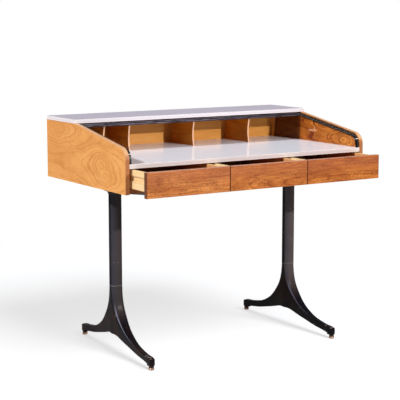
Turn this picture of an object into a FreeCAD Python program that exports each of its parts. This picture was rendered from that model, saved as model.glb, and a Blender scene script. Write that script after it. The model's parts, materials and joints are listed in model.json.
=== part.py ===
"""Tambour desk: a shallow case with three drawers and a roll curtain, on two cast pedestals.

Millimetres.  X runs along the width, Y from the front (-) to the back (+), Z up from the floor.
The origin is on the floor, under the middle of the desk as it stands with its drawers drawn out.
"""
import FreeCAD, Part
import math
import os

# ------------------------------------------------------------------ overall sizes
case_width = 1070.0
case_depth = 620.0
surface_height = 759.0
slab_rise = 130.0
front_rise = 51.6
drawer_space_height = 74.5
drawer_rest_opening = 118.0

# ------------------------------------------------------------------ boards of the case
panel_thickness = 17.0
slab_thickness = 15.0
slab_depth = 237.0
surface_thickness = 16.5
bottom_thickness = 16.5
back_thickness = 12.0
partition_thickness = 12.0
nose_radius = 46.0
board_easing = 1.2
joint_gap = 0.4
front_seat_gap = 2.0

# ------------------------------------------------------------------ pigeonholes
hole_board_thickness = 6.0
hole_top_thickness = 3.0
hole_back_setback = 32.0
hole_top_gap = 5.7
hole_top_setback = 5.0
hole_batten_width = 8.0
hole_batten_depth = 19.0
divider_setback = 24.0
first_hole_width = 121.5
second_hole_width = 110.0
third_hole_width = 293.0
fourth_hole_width = 267.0
divider_hollow = 8.5
divider_foot_setback = 2.5

# ------------------------------------------------------------------ roll curtain and its tracks
track_width = 10.4
track_projection = 10.0
track_wall = 1.2
track_slot = 7.6
track_setback = 3.1
track_headroom = 0.3
track_level_radius = 30.0
track_rear_radius = 26.0
track_foot_gap = 4.0
curtain_back_clearance = 2.0
slat_thickness = 6.0
slat_width = 12.0
slat_pitch = 13.0
slat_end_clearance = 0.7
cloth_thickness = 0.5
curtain_start_gap = 4.0
bar_depth = 18.0
bar_height = 14.0
bar_drop = 2.8
bar_rounding = 3.0
bar_end_clearance = 1.5
shoe_length = 15.0
shoe_thickness = 6.6
shoe_end_clearance = 0.5
bar_front_setback = 1.0

# ------------------------------------------------------------------ drawers
front_thickness = 18.0
front_gap = 1.6
front_end_gap = 0.8
front_easing = 0.8
drawer_length = 430.0
drawer_side_inset = 10.5
drawer_side_thickness = 12.0
drawer_top_clearance = 3.5
drawer_floor_clearance = 4.0
drawer_back_thickness = 12.0
drawer_back_drop = 6.0
drawer_bottom_thickness = 5.0
drawer_bottom_rise = 6.0
drawer_groove_depth = 5.0
drawer_groove_play = 0.4
runner_height = 17.0
runner_rise = 28.5
runner_groove_depth = 6.0
runner_play = 0.5
runner_front_gap = 4.0
runner_back_gap = 73.2
stop_length = 20.0
stop_width = 60.0
stop_height = 18.0
stop_gap = 0.5

# ------------------------------------------------------------------ pedestals
column_inset = 129.0
column_shift = 3.0
tube_diameter = 49.0
tube_wall = 2.5
seam_height = 258.0
seam_gap = 0.6
spigot_length = 35.0
spigot_play = 0.3
bracket_width = 36.0
bracket_end_inset = 30.0
bracket_depth = 36.0
bracket_end_depth = 12.5
bracket_middle = 60.0
bracket_sheet = 3.0
cap_overhang = 3.0
cap_thickness = 4.0
bracket_screw_count = 3
bracket_screw_end_gap = 40.0
bracket_screw_column_gap = 60.0
screw_head_radius = 4.5
screw_head_height = 2.4
screw_shank_radius = 2.2
screw_length = 13.0
screw_pilot_extra = 1.0
screw_play = 0.3
toe_reach = 302.0
toe_half_width = 10.5
toe_top_height = 42.0
toe_boss_length = 27.0
toe_boss_height = 15.0
toe_boss_rise = 15.0
toe_boss_rounding = 4.0
toe_sole_gap = 1.0
crotch_height = 71.0
left_base_turn = 3.3
right_base_turn = -0.5
glide_radius = 10.5
glide_height = 8.0
glide_rounding = 2.5
glide_collar_radius = 9.5
glide_collar_gap = 0.6
glide_stem_radius = 4.0
glide_stem_length = 17.0
glide_inset = 8.5
glide_play = 0.2
rod_radius = 5.0
rod_play = 0.4
rod_tail = 4.0
nut_height = 8.0
nut_radius = 10.0
nut_recess = 11.0

# ------------------------------------------------------------------ places worked out from the sizes
front_y = -(case_depth - drawer_rest_opening) / 2.0
back_y = front_y + case_depth
inner_half = case_width / 2.0 - panel_thickness
slab_top_height = surface_height + slab_rise
panel_top = slab_top_height - slab_thickness
slab_front_y = back_y - slab_depth
slope = (panel_top - surface_height - front_rise) / (slab_front_y - front_y)
slope_cos = math.cos(math.atan(slope))
surface_underside = surface_height - surface_thickness
floor_top = surface_underside - drawer_space_height
case_underside_height = floor_top - bottom_thickness
hole_back_y = back_y - hole_back_setback
track_inset = track_setback + track_width / 2.0
curtain_y = back_y - back_thickness - curtain_back_clearance - track_width / 2.0
surface_back_y = curtain_y - track_width / 2.0 - joint_gap
drawer_outer_half = inner_half - front_end_gap
front_width = (2.0 * drawer_outer_half - 2.0 * front_gap) / 3.0
drawer_pitch = front_width + front_gap
front_height = surface_underside - case_underside_height
front_bottom = surface_underside - front_height - joint_gap
side_bottom = floor_top + drawer_floor_clearance
drawer_side_height = drawer_space_height - drawer_floor_clearance - drawer_top_clearance
column_y = front_y + case_depth / 2.0 + column_shift
column_spacing = case_width - 2.0 * column_inset
bracket_length = case_depth - 2.0 * bracket_end_inset
cap_underside = case_underside_height - bracket_depth - cap_thickness
tube_radius = tube_diameter / 2.0
divider_places = [first_hole_width - inner_half]
for hole_width in (second_hole_width, third_hole_width, fourth_hole_width):
    divider_places.append(divider_places[-1] + hole_width)

V = FreeCAD.Vector


def slope_height(y):
    """Height of the side panel's sloping edge at y."""
    return panel_top - (slab_front_y - y) * slope


# ------------------------------------------------------------------ shared shapes
def block(x0, x1, y0, y1, z0, z1):
    """Return an upright block between two corners."""
    return Part.makeBox(x1 - x0, y1 - y0, z1 - z0, V(x0, y0, z0))


def eased(shape, radius, keep=None):
    """Round the edges for which keep(edge) holds, or all of them."""
    edges = [edge for edge in shape.Edges if keep is None or keep(edge)]
    return shape.makeFillet(radius, edges)


def runs_along(edge, axis):
    """Tell whether a straight edge runs along axis 0, 1 or 2."""
    start, end = edge.Vertexes[0].Point, edge.Vertexes[-1].Point
    step = end - start
    return all(abs(step[other]) < 1e-6 for other in range(3) if other != axis)


def plate(points, x0, x1):
    """Extrude a closed outline of (y, z) points from x0 to x1."""
    wire = Part.makePolygon([V(x0, y, z) for y, z in points + points[:1]])
    return Part.Face(wire).extrude(V(x1 - x0, 0, 0))


def save(name, shape):
    """Write one piece to its own file."""
    shape.exportStep("parts/" + name + ".step")


# ------------------------------------------------------------------ the track's route
class Route:
    """A route of straight runs and tangent bends in the YZ plane."""

    def __init__(self, corners, radii):
        """Join the (y, z) corners by straight runs, bent at each inner corner by its radius."""
        self.pieces = []
        start = corners[0]
        for before, corner, after, radius in zip(corners, corners[1:], corners[2:], radii):
            arrive = self.direction(before, corner)
            leave = self.direction(corner, after)
            turn = self.turn_between(arrive, leave)
            reach = radius * math.tan(abs(turn) / 2.0)
            entry = (corner[0] - arrive[0] * reach, corner[1] - arrive[1] * reach)
            self.add_run(start, entry)
            self.add_bend(entry, arrive, turn, radius)
            start = (corner[0] + leave[0] * reach, corner[1] + leave[1] * reach)
        self.add_run(start, corners[-1])
        self.length = sum(piece["length"] for piece in self.pieces)

    @staticmethod
    def direction(a, b):
        """Unit vector from a to b."""
        size = math.hypot(b[0] - a[0], b[1] - a[1])
        return ((b[0] - a[0]) / size, (b[1] - a[1]) / size)

    @staticmethod
    def turn_between(a, b):
        """Signed angle from direction a to direction b."""
        return math.atan2(a[0] * b[1] - a[1] * b[0], a[0] * b[0] + a[1] * b[1])

    def add_run(self, a, b):
        """Add a straight run."""
        size = math.hypot(b[0] - a[0], b[1] - a[1])
        self.pieces.append({"length": size, "start": a, "way": self.direction(a, b), "turn": 0.0})

    def add_bend(self, entry, way, turn, radius):
        """Add a bend that starts at entry, heading along way."""
        side = math.copysign(1.0, turn)
        centre = (entry[0] - side * way[1] * radius, entry[1] + side * way[0] * radius)
        self.pieces.append({"length": radius * abs(turn), "start": entry, "way": way,
                            "turn": turn, "radius": radius, "centre": centre})

    def at(self, distance):
        """Return the point and the heading at a distance along the route."""
        for piece in self.pieces:
            if distance <= piece["length"] or piece is self.pieces[-1]:
                return self.inside(piece, distance)
            distance -= piece["length"]
        return None

    @staticmethod
    def inside(piece, distance):
        """Return the point and the heading at a distance into one piece."""
        way = piece["way"]
        if not piece["turn"]:
            start = piece["start"]
            return (start[0] + way[0] * distance, start[1] + way[1] * distance), way
        angle = math.copysign(distance / piece["radius"], piece["turn"])
        turned = (way[0] * math.cos(angle) - way[1] * math.sin(angle),
                  way[0] * math.sin(angle) + way[1] * math.cos(angle))
        side = math.copysign(piece["radius"], piece["turn"])
        centre = piece["centre"]
        return (centre[0] + side * turned[1], centre[1] - side * turned[0]), turned

    def offset_edges(self, offset, x):
        """Edges of the route moved sideways by offset (positive is to its left)."""
        edges = []
        travelled = 0.0
        for piece in self.pieces:
            marks = [travelled, travelled + piece["length"] / 2.0, travelled + piece["length"]]
            points = [self.beside(mark, offset, x) for mark in marks]
            if piece["turn"]:
                edges.append(Part.Arc(*points).toShape())
            else:
                edges.append(Part.makeLine(points[0], points[2]))
            travelled += piece["length"]
        return edges

    def beside(self, distance, offset, x):
        """Point at a distance along the route, moved sideways by offset, at x."""
        (y, z), way = self.at(distance)
        return V(x, y - way[1] * offset, z + way[0] * offset)

    def strip(self, low, high, x0, x1):
        """Solid strip between two offsets of the route, from x0 to x1."""
        near = self.offset_edges(low, x0)
        far = self.offset_edges(high, x0)
        ends = [Part.makeLine(self.beside(mark, low, x0), self.beside(mark, high, x0))
                for mark in (0.0, self.length)]
        wire = Part.Wire(Part.__sortEdges__(near + far + ends))
        return Part.Face(wire).extrude(V(x1 - x0, 0, 0))


def curtain_route():
    """Centre line of the tracks, from the writing surface up, back and down behind the case."""
    level = panel_top - track_width / 2.0 - track_headroom
    nose_y = front_y + track_inset
    nose_z = slope_height(nose_y) - track_inset / slope_cos
    level_y = nose_y + (level - nose_z) / slope
    foot = floor_top + track_foot_gap
    corners = [(nose_y, surface_height), (nose_y, nose_z), (level_y, level),
               (curtain_y, level), (curtain_y, foot)]
    return Route(corners, [nose_radius - track_inset, track_level_radius, track_rear_radius])


ROUTE = curtain_route()


# ------------------------------------------------------------------ case
def side_panel(side):
    """Side panel: level under the slab, sloping to a rounded nose, upright at the front."""
    x0 = side * inner_half
    x1 = side * case_width / 2.0
    outline = Route([(front_y, case_underside_height), (front_y, slope_height(front_y)),
                     (slab_front_y, panel_top)], [nose_radius])
    edges = outline.offset_edges(0.0, x0)
    corners = [(slab_front_y, panel_top), (back_y, panel_top), (back_y, case_underside_height),
               (front_y, case_underside_height)]
    edges += [Part.makeLine(V(x0, *a), V(x0, *b)) for a, b in zip(corners, corners[1:])]
    panel = Part.Face(Part.Wire(edges)).extrude(V(x1 - x0, 0, 0))
    return eased(panel, board_easing, lambda edge: abs(edge.CenterOfMass.x - x1) < 1e-3
                 and edge.CenterOfMass.y < slab_front_y and edge.CenterOfMass.z > case_underside_height)


def top_slab():
    """White slab over the pigeonholes and the rolled curtain."""
    half = case_width / 2.0
    slab = block(-half, half, slab_front_y, back_y, panel_top, slab_top_height)
    return eased(slab, board_easing)


def writing_surface():
    """White writing surface between the side panels, short of the rolled curtain."""
    board = block(-inner_half, inner_half, front_y, surface_back_y, surface_underside, surface_height)
    return eased(board, board_easing, lambda edge: runs_along(edge, 0)
                 and edge.CenterOfMass.y < front_y + 1.0)


def case_bottom():
    """Bottom board of the case, with pilot holes for the bracket screws."""
    y0 = front_y + front_thickness + front_seat_gap
    y1 = back_y - back_thickness
    board = block(-inner_half, inner_half, y0, y1, case_underside_height, floor_top)
    for side in (-1, 1):
        for x, y in screw_places(side):
            hole = Part.makeCylinder(screw_shank_radius, screw_length + screw_pilot_extra,
                                     V(x, y, case_underside_height))
            board = board.cut(hole)
    return board


def case_back():
    """Back board between the side panels, from the bottom up to the slab."""
    return block(-inner_half, inner_half, back_y - back_thickness, back_y,
                 case_underside_height, panel_top)


def drawer_partition(side):
    """Upright partition between two drawers."""
    x = side * drawer_pitch / 2.0
    half = partition_thickness / 2.0
    y0 = front_y + front_thickness + front_seat_gap
    return block(x - half, x + half, y0, surface_back_y, floor_top, surface_underside)


# ------------------------------------------------------------------ pigeonholes
def hole_top_z():
    """Underside of the thin board over the pigeonholes."""
    level = panel_top - track_headroom - track_width
    return level - hole_top_thickness - hole_top_gap


def pigeonhole_back():
    """Light back board of the pigeonholes, with a batten glued in each front corner."""
    y0 = hole_back_y - hole_board_thickness
    low, high = surface_height, hole_top_z()
    board = block(-inner_half, inner_half, y0, hole_back_y, low, high)
    for side in (-1, 1):
        ends = sorted((side * inner_half, side * (inner_half - hole_batten_width)))
        board = board.fuse(block(*ends, y0 - hole_batten_depth, y0, low, high))
    return board.removeSplitter()


def pigeonhole_top():
    """Thin board between the pigeonholes and the rolled curtain."""
    y0 = slab_front_y + divider_setback + hole_top_setback
    return block(-inner_half, inner_half, y0, hole_back_y, hole_top_z(),
                 hole_top_z() + hole_top_thickness)


def pigeonhole_divider(x):
    """Divider with a hollow front edge, one arc from top to foot."""
    y_front = slab_front_y + divider_setback
    y_back = hole_back_y - hole_board_thickness
    low, high = surface_height, hole_top_z()
    top = V(x, y_front, high)
    middle = V(x, y_front + divider_hollow, (low + high) / 2.0)
    foot = V(x, y_front + divider_foot_setback, low)
    ends = [Part.makeLine(foot, V(x, y_back, low)),
            Part.makeLine(V(x, y_back, low), V(x, y_back, high)),
            Part.makeLine(V(x, y_back, high), top)]
    face = Part.Face(Part.Wire([Part.Arc(top, middle, foot).toShape()] + ends))
    half = hole_board_thickness / 2.0
    return face.extrude(V(hole_board_thickness, 0, 0)).translated(V(-half, 0, 0))


# ------------------------------------------------------------------ roll curtain
def tambour_track(side):
    """Black channel on a side panel's inner face, open towards the middle of the desk."""
    wall = side * inner_half
    lip = side * (inner_half - track_projection)
    floor = side * (inner_half - track_wall)
    channel = ROUTE.strip(-track_width / 2.0, track_width / 2.0, lip, wall)
    return channel.cut(ROUTE.strip(-track_slot / 2.0, track_slot / 2.0, lip, floor))


def on_route(shape, distance, offset=0.0):
    """Set a piece made round the origin, with its length along Y, on the route."""
    (y, z), way = ROUTE.at(distance)
    angle = math.degrees(math.atan2(way[1], way[0]))
    placed = shape.copy()
    placed.rotate(V(0, 0, 0), V(1, 0, 0), angle)
    placed.translate(V(0, y - way[1] * offset, z + way[0] * offset))
    return placed


def bar_distance():
    """Distance along the route to the middle of the pull bar when the curtain is open."""
    rise = ROUTE.pieces[0]["length"] + ROUTE.pieces[1]["length"]
    start_y = ROUTE.pieces[2]["start"][0]
    middle_y = slab_front_y + bar_front_setback + bar_depth / 2.0
    return rise + (middle_y - start_y) / slope_cos


def pull_bar():
    """Black pull bar at the curtain's leading edge."""
    half = inner_half - track_projection - bar_end_clearance
    bar = block(-half, half, -bar_depth / 2.0, bar_depth / 2.0, -bar_height / 2.0, bar_height / 2.0)
    bar = eased(bar, bar_rounding, lambda edge: runs_along(edge, 0))
    return on_route(bar, bar_distance(), -bar_drop)


def bar_shoe(side):
    """Sliding shoe that carries one end of the pull bar in its track."""
    inner = inner_half - track_projection - bar_end_clearance
    outer = inner_half - track_wall - shoe_end_clearance
    x0, x1 = sorted((side * inner, side * outer))
    shoe = block(x0, x1, -shoe_length / 2.0, shoe_length / 2.0,
                 -shoe_thickness / 2.0, shoe_thickness / 2.0)
    return on_route(shoe, bar_distance())


def slat_blank():
    """One slat, flat on the cloth side and rounded outside, made round the origin."""
    half = inner_half - track_wall - slat_end_clearance
    slat = block(-half, half, -slat_width / 2.0, slat_width / 2.0,
                 -slat_thickness / 2.0, slat_thickness / 2.0)
    return eased(slat, slat_thickness * 0.3, lambda edge: runs_along(edge, 0)
                 and edge.CenterOfMass.z > 0)


def slat_distances():
    """Distances along the route of the slats that are rolled away."""
    distance = bar_distance() + bar_depth / 2.0 + curtain_start_gap + slat_width / 2.0
    places = []
    while distance < ROUTE.length - slat_width:
        places.append(distance)
        distance += slat_step(distance)
    return places


def slat_step(distance):
    """Spacing along the centre line that keeps the pitch on the cloth, inside the bends."""
    travelled = 0.0
    for piece in ROUTE.pieces:
        if distance <= travelled + piece["length"] + slat_width / 2.0:
            if piece["turn"]:
                return slat_pitch * piece["radius"] / (piece["radius"] - slat_thickness / 2.0)
            return slat_pitch
        travelled += piece["length"]
    return slat_pitch


def tambour_slats():
    """Slats of the rolled-away curtain."""
    blank = slat_blank()
    return Part.makeCompound([on_route(blank, distance) for distance in slat_distances()])


def tambour_cloth():
    """Canvas that joins the slats, on the inner side of the bends."""
    places = slat_distances()
    half = inner_half - track_projection - 2.0 * bar_end_clearance
    marks = [places[0] - slat_width / 2.0, places[-1] + slat_width / 2.0]
    near = -slat_thickness / 2.0 - cloth_thickness - joint_gap / 4.0
    far = -slat_thickness / 2.0 - joint_gap / 4.0
    band = ROUTE.strip(near, far, -half, half)
    keep_front = marks_point(marks[0])
    keep_foot = marks_point(marks[1])
    band = band.cut(block(-half - 1, half + 1, front_y - 1, keep_front[0], 0, slab_top_height))
    return band.cut(block(-half - 1, half + 1, keep_foot[0] - slat_width, back_y, 0, keep_foot[1]))


def marks_point(distance):
    """Point of the route at a distance."""
    return ROUTE.at(distance)[0]


# ------------------------------------------------------------------ drawers
def drawer_frame(index):
    """Left, right and front place of drawer 0, 1 or 2 as it stands drawn out."""
    left = -drawer_outer_half + index * drawer_pitch
    return left, left + front_width, front_y - drawer_rest_opening


def drawer_front(index):
    """Drawer front, flush with the case when closed."""
    left, right, y = drawer_frame(index)
    board = block(left, right, y, y + front_thickness, front_bottom, front_bottom + front_height)
    return eased(board, front_easing)


def drawer_side(index, side):
    """Drawer side with a runner groove outside and a groove for the bottom inside."""
    left, right, y = drawer_frame(index)
    edge = left + drawer_side_inset if side < 0 else right - drawer_side_inset
    inner = edge - side * drawer_side_thickness
    y0, y1 = y + front_thickness, y + drawer_length
    board = block(min(edge, inner), max(edge, inner), y0, y1, side_bottom,
                  side_bottom + drawer_side_height)
    groove_in = edge - side * runner_groove_depth
    z0 = side_bottom + runner_rise
    groove = block(min(edge, groove_in), max(edge, groove_in), y0 + 1.0, y1 + 1.0,
                   z0, z0 + runner_height + 2.0 * runner_play)
    slot_in = inner + side * drawer_groove_depth
    z1 = side_bottom + drawer_bottom_rise
    slot = block(min(inner, slot_in), max(inner, slot_in), y0 - 1.0, y1 + 1.0,
                 z1, z1 + drawer_bottom_thickness + drawer_groove_play)
    return board.cut(groove).cut(slot)


def drawer_inner(index):
    """Left and right inner faces of a drawer's sides, and its front and back places."""
    left, right, y = drawer_frame(index)
    shift = drawer_side_inset + drawer_side_thickness
    return left + shift, right - shift, y + front_thickness, y + drawer_length


def drawer_back(index):
    """Back board of a drawer, over the bottom and a little lower than the sides."""
    x0, x1, _, y1 = drawer_inner(index)
    z0 = side_bottom + drawer_bottom_rise + drawer_bottom_thickness + drawer_groove_play
    z1 = side_bottom + drawer_side_height - drawer_back_drop
    return block(x0, x1, y1 - drawer_back_thickness, y1, z0, z1)


def drawer_bottom(index):
    """Thin drawer bottom, let into the sides."""
    x0, x1, y0, y1 = drawer_inner(index)
    reach = drawer_groove_depth - drawer_groove_play
    z = side_bottom + drawer_bottom_rise + drawer_groove_play / 2.0
    return block(x0 - reach, x1 + reach, y0, y1, z, z + drawer_bottom_thickness)


def drawer_runner(index, side):
    """Wooden strip in the case that a drawer's grooved side slides on."""
    left, right, _ = drawer_frame(index)
    edge = left + drawer_side_inset if side < 0 else right - drawer_side_inset
    tip = edge - side * (runner_groove_depth - runner_play)
    if index == 1 or side * (index - 1) < 0:
        middle = drawer_pitch / 2.0 * (side if index == 1 else index - 1)
        root = middle - side * partition_thickness / 2.0
    else:
        root = side * inner_half
    y0 = front_y + front_thickness + runner_front_gap
    y1 = surface_back_y - runner_back_gap
    z0 = side_bottom + runner_rise + runner_play
    return block(min(tip, root), max(tip, root), y0, y1, z0, z0 + runner_height)


def drawer_stop(index):
    """Block on the case bottom that stops a drawer when its front is flush."""
    left, right, _ = drawer_frame(index)
    middle = (left + right) / 2.0
    y0 = front_y + drawer_length + stop_gap
    top = floor_top + stop_height
    return block(middle - stop_width / 2.0, middle + stop_width / 2.0, y0, y0 + stop_length,
                 floor_top, top)


# ------------------------------------------------------------------ pedestals
def screw_places(side):
    """Places of one bracket's screws."""
    x = side * column_spacing / 2.0
    span = bracket_length / 2.0 - bracket_screw_end_gap - bracket_screw_column_gap
    step = span / (bracket_screw_count - 1)
    rows = [bracket_screw_column_gap + step * number for number in range(bracket_screw_count)]
    return [(x, column_y + end * row) for end in (-1, 1) for row in rows]


def column_bracket(side):
    """Folded steel channel under the case, deepest at the column, with a round cap for the tube."""
    x = side * column_spacing / 2.0
    half = bracket_width / 2.0
    top = case_underside_height
    reach = bracket_length / 2.0
    middle = bracket_middle / 2.0
    outline = [(column_y - reach, top), (column_y - reach, top - bracket_end_depth),
               (column_y - middle, top - bracket_depth), (column_y + middle, top - bracket_depth),
               (column_y + reach, top - bracket_end_depth), (column_y + reach, top)]
    body = plate(outline, x - half, x + half)
    inner = half - bracket_sheet
    hollow = block(x - inner, x + inner, column_y - reach - 1.0, column_y + reach + 1.0,
                   top - bracket_depth - 1.0, top - bracket_sheet)
    cap_place = V(x, column_y, cap_underside)
    body = body.cut(hollow).fuse(Part.makeCylinder(tube_radius + cap_overhang, cap_thickness, cap_place))
    for hole_x, hole_y in screw_places(side):
        body = body.cut(Part.makeCylinder(screw_shank_radius + screw_play, bracket_sheet,
                                          V(hole_x, hole_y, top - bracket_sheet)))
    return body.cut(Part.makeCylinder(rod_radius + rod_play, cap_thickness, cap_place))


def bracket_screws(side):
    """Pan-head screws that hold a bracket to the case bottom."""
    head_top = case_underside_height - bracket_sheet
    screws = []
    for x, y in screw_places(side):
        head = Part.makeCylinder(screw_head_radius, screw_head_height, V(x, y, head_top - screw_head_height))
        head = head.makeFillet(screw_head_height * 0.6, [head.Edges[2]])
        shank = Part.makeCylinder(screw_shank_radius, bracket_sheet + screw_length, V(x, y, head_top))
        screws.append(head.fuse(shank))
    return Part.makeCompound(screws)


def column_tube(side):
    """Steel tube between the base casting and the bracket's cap."""
    x = side * column_spacing / 2.0
    low = seam_height + seam_gap
    height = cap_underside - low
    outer = Part.makeCylinder(tube_radius, height, V(x, column_y, low))
    return outer.cut(Part.makeCylinder(tube_radius - tube_wall, height, V(x, column_y, low)))


def tie_rod(side):
    """Rod that pulls the casting, the tube and the bracket together, with a nut at each end."""
    x = side * column_spacing / 2.0
    low = crotch_height
    upper_seat = cap_underside + cap_thickness
    high = upper_seat + nut_height + rod_tail
    rod = Part.makeCylinder(rod_radius, high - low, V(x, column_y, low))
    lower = hex_nut(x, crotch_height + nut_recess - nut_height)
    upper = hex_nut(x, upper_seat)
    return rod.fuse([lower, upper])


def hex_nut(x, z):
    """Hexagon nut on a column's axis."""
    points = [V(x + nut_radius * math.cos(math.radians(60 * k)),
                column_y + nut_radius * math.sin(math.radians(60 * k)), z) for k in range(7)]
    return Part.Face(Part.makePolygon(points)).extrude(V(0, 0, nut_height))


# Sections of one arm of the casting, from the seam to the tip, as shares: outer reach (0 at the
# tube, 1 at the tip), outer rise (0 at the tip, 1 at the seam), inner reach (under 0 past the
# axis, in tube radii), inner rise (0 at the sole, 1 at the crotch, 2 at the seam), width (0 at
# the toe, 1 at the tube) and rounding of the corners as a share of the half width.
arm_shares = (
    (0.0000, 1.000, -1.00, 2.000, 1.000, 0.98),
    (0.0015, 0.863, -1.00, 1.818, 1.000, 0.90),
    (0.0342, 0.643, -0.98, 1.433, 1.000, 0.69),
    (0.1243, 0.456, -1.22, 1.000, 0.850, 0.51),
    (0.2324, 0.311, 0.046, 0.982, 0.607, 0.43),
    (0.3838, 0.186, 0.225, 0.809, 0.364, 0.40),
    (0.5604, 0.096, 0.454, 0.509, 0.121, 0.39),
    (0.7477, 0.046, 0.682, 0.253, 0.000, 0.39),
    (0.8919, 0.024, 0.868, 0.105, 0.000, 0.39),
    (0.9712, 0.014, 0.967, 0.000, 0.000, 0.39),
    (1.0000, 0.000, 1.000, 0.000, -0.036, 0.36),
)


def arm_sizes(outer_reach, outer_rise, inner_reach, inner_rise, width, rounding):
    """Outer and inner point, half width and corner rounding of one section of the arm."""
    outer = (tube_radius + (toe_reach - tube_radius) * outer_reach,
             toe_top_height + (seam_height - toe_top_height) * outer_rise)
    sole = toe_boss_height + toe_sole_gap
    if inner_rise > 1.0:
        height = crotch_height + (seam_height - crotch_height) * (inner_rise - 1.0)
    else:
        height = sole + (crotch_height - sole) * inner_rise
    reach = inner_reach * (tube_radius if inner_reach < 0.0 else toe_reach)
    half_width = toe_half_width + (tube_radius - toe_half_width) * width
    return outer, (reach, height), half_width, half_width * rounding


def arm_section(outer, inner, half_width, rounding):
    """Rounded rectangle through an outer and an inner point of an arm."""
    out = V(0, outer[0], outer[1])
    inn = V(0, inner[0], inner[1])
    up = (out - inn).normalize()
    middle = (out + inn) * 0.5
    half = (out - inn).Length / 2.0
    rounding = min(rounding, 0.98 * half, 0.98 * half_width)
    across = V(1, 0, 0)
    edges = []
    corners = ((1, 1), (-1, 1), (-1, -1), (1, -1))
    marks = []
    for sx, sy in corners:
        centre = middle + across * (sx * (half_width - rounding)) + up * (sy * (half - rounding))
        side = centre + across * (sx * rounding)
        top = centre + up * (sy * rounding)
        diagonal = centre + (across * sx + up * sy) * (rounding / math.sqrt(2.0))
        marks.append((side, diagonal, top) if sx * sy > 0 else (top, diagonal, side))
    for number, (start, through, end) in enumerate(marks):
        edges.append(Part.Arc(start, through, end).toShape())
        edges.append(Part.makeLine(end, marks[(number + 1) % 4][0]))
    return Part.Wire(edges)


def base_arm():
    """One arm of the casting, towards +Y, cut at the column's axis."""
    arm = Part.makeLoft([arm_section(*arm_sizes(*shares)) for shares in arm_shares], True, False)
    keep = block(-toe_reach, toe_reach, 0, toe_reach + 1.0, 0, seam_height + 1.0)
    arm = arm.common(keep)
    boss_y = toe_reach - toe_boss_length
    boss = block(-toe_half_width, toe_half_width, boss_y, toe_reach - toe_sole_gap,
                 toe_boss_height, toe_boss_height + toe_boss_rise)
    boss = eased(boss, toe_boss_rounding,
                 lambda edge: not runs_along(edge, 1) and not runs_along(edge, 0))
    return arm.fuse(boss)


def base_casting(side):
    """Cast base with two arms, a spigot for the tube and holes for the rod and the glides."""
    arm = base_arm()
    body = arm.fuse(arm.mirror(V(0, 0, 0), V(0, 1, 0)))
    spigot_radius = tube_radius - tube_wall - spigot_play
    spigot = Part.makeCylinder(spigot_radius, spigot_length + 1.0, V(0, 0, seam_height - 1.0))
    body = body.fuse(spigot).removeSplitter()
    bore = Part.makeCylinder(rod_radius + rod_play, seam_height + spigot_length, V(0, 0, 0))
    recess = Part.makeCylinder(nut_radius + rod_play, nut_recess + 10.0, V(0, 0, crotch_height - 10.0))
    body = body.cut(bore).cut(recess)
    for end in (-1, 1):
        hole = Part.makeCylinder(glide_stem_radius + glide_play, glide_stem_length,
                                 V(0, end * (toe_reach - glide_inset), toe_boss_height))
        body = body.cut(hole)
    return set_on_column(body, side)


def set_on_column(shape, side):
    """Turn a base piece by its pedestal's small angle and set it under the column."""
    placed = shape.copy()
    turn = left_base_turn if side < 0 else right_base_turn
    placed.rotate(V(0, 0, 0), V(0, 0, 1), -turn)
    placed.translate(V(side * column_spacing / 2.0, column_y, 0))
    return placed


def floor_glide(side, end):
    """Metal glide with its collar and its stem, under one toe."""
    y = end * (toe_reach - glide_inset)
    disc = Part.makeCylinder(glide_radius, glide_height, V(0, y, 0))
    disc = eased(disc, glide_rounding, lambda edge: len(edge.Vertexes) == 1)
    collar = Part.makeCylinder(glide_collar_radius, toe_boss_height - glide_height - glide_collar_gap + 1.0,
                               V(0, y, glide_height - 1.0))
    stem = Part.makeCylinder(glide_stem_radius, toe_boss_height - glide_height + glide_stem_length - 1.0,
                             V(0, y, glide_height - 1.0))
    return set_on_column(disc.fuse(collar).fuse(stem), side)


# ------------------------------------------------------------------ all pieces
SIDES = (("left", -1), ("right", 1))
DRAWERS = ("left_drawer", "middle_drawer", "right_drawer")


def case_pieces():
    """Yield the boards of the case and the pigeonholes."""
    for word, side in SIDES:
        yield word + "_side_panel", side_panel(side)
        yield word + "_drawer_partition", drawer_partition(side)
    yield "top_slab", top_slab()
    yield "writing_surface", writing_surface()
    yield "case_bottom", case_bottom()
    yield "case_back", case_back()
    yield "pigeonhole_back", pigeonhole_back()
    yield "pigeonhole_top", pigeonhole_top()
    for number, x in enumerate(divider_places, 1):
        yield "pigeonhole_divider_%d" % number, pigeonhole_divider(x)


def curtain_pieces():
    """Yield the roll curtain and its tracks."""
    for word, side in SIDES:
        yield word + "_tambour_track", tambour_track(side)
        yield word + "_bar_shoe", bar_shoe(side)
    yield "tambour_pull_bar", pull_bar()
    yield "tambour_slats", tambour_slats()
    yield "tambour_cloth", tambour_cloth()


def drawer_pieces():
    """Yield the drawers, their runners and their stops."""
    for index, drawer in enumerate(DRAWERS):
        yield drawer + "_front", drawer_front(index)
        yield drawer + "_back", drawer_back(index)
        yield drawer + "_bottom", drawer_bottom(index)
        yield drawer + "_stop", drawer_stop(index)
        for word, side in SIDES:
            yield drawer + "_" + word + "_side", drawer_side(index, side)
            yield drawer + "_" + word + "_runner", drawer_runner(index, side)


def pedestal_pieces():
    """Yield the two pedestals."""
    for word, side in SIDES:
        yield word + "_column_bracket", column_bracket(side)
        yield word + "_bracket_screws", bracket_screws(side)
        yield word + "_column_tube", column_tube(side)
        yield word + "_tie_rod", tie_rod(side)
        yield word + "_base_casting", base_casting(side)
        for place, end in (("front", -1), ("back", 1)):
            yield word + "_" + place + "_glide", floor_glide(side, end)


def main():
    """Write every piece."""
    os.makedirs("parts", exist_ok=True)
    for pieces in (case_pieces(), curtain_pieces(), drawer_pieces(), pedestal_pieces()):
        for name, shape in pieces:
            save(name, shape)


main()
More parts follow.
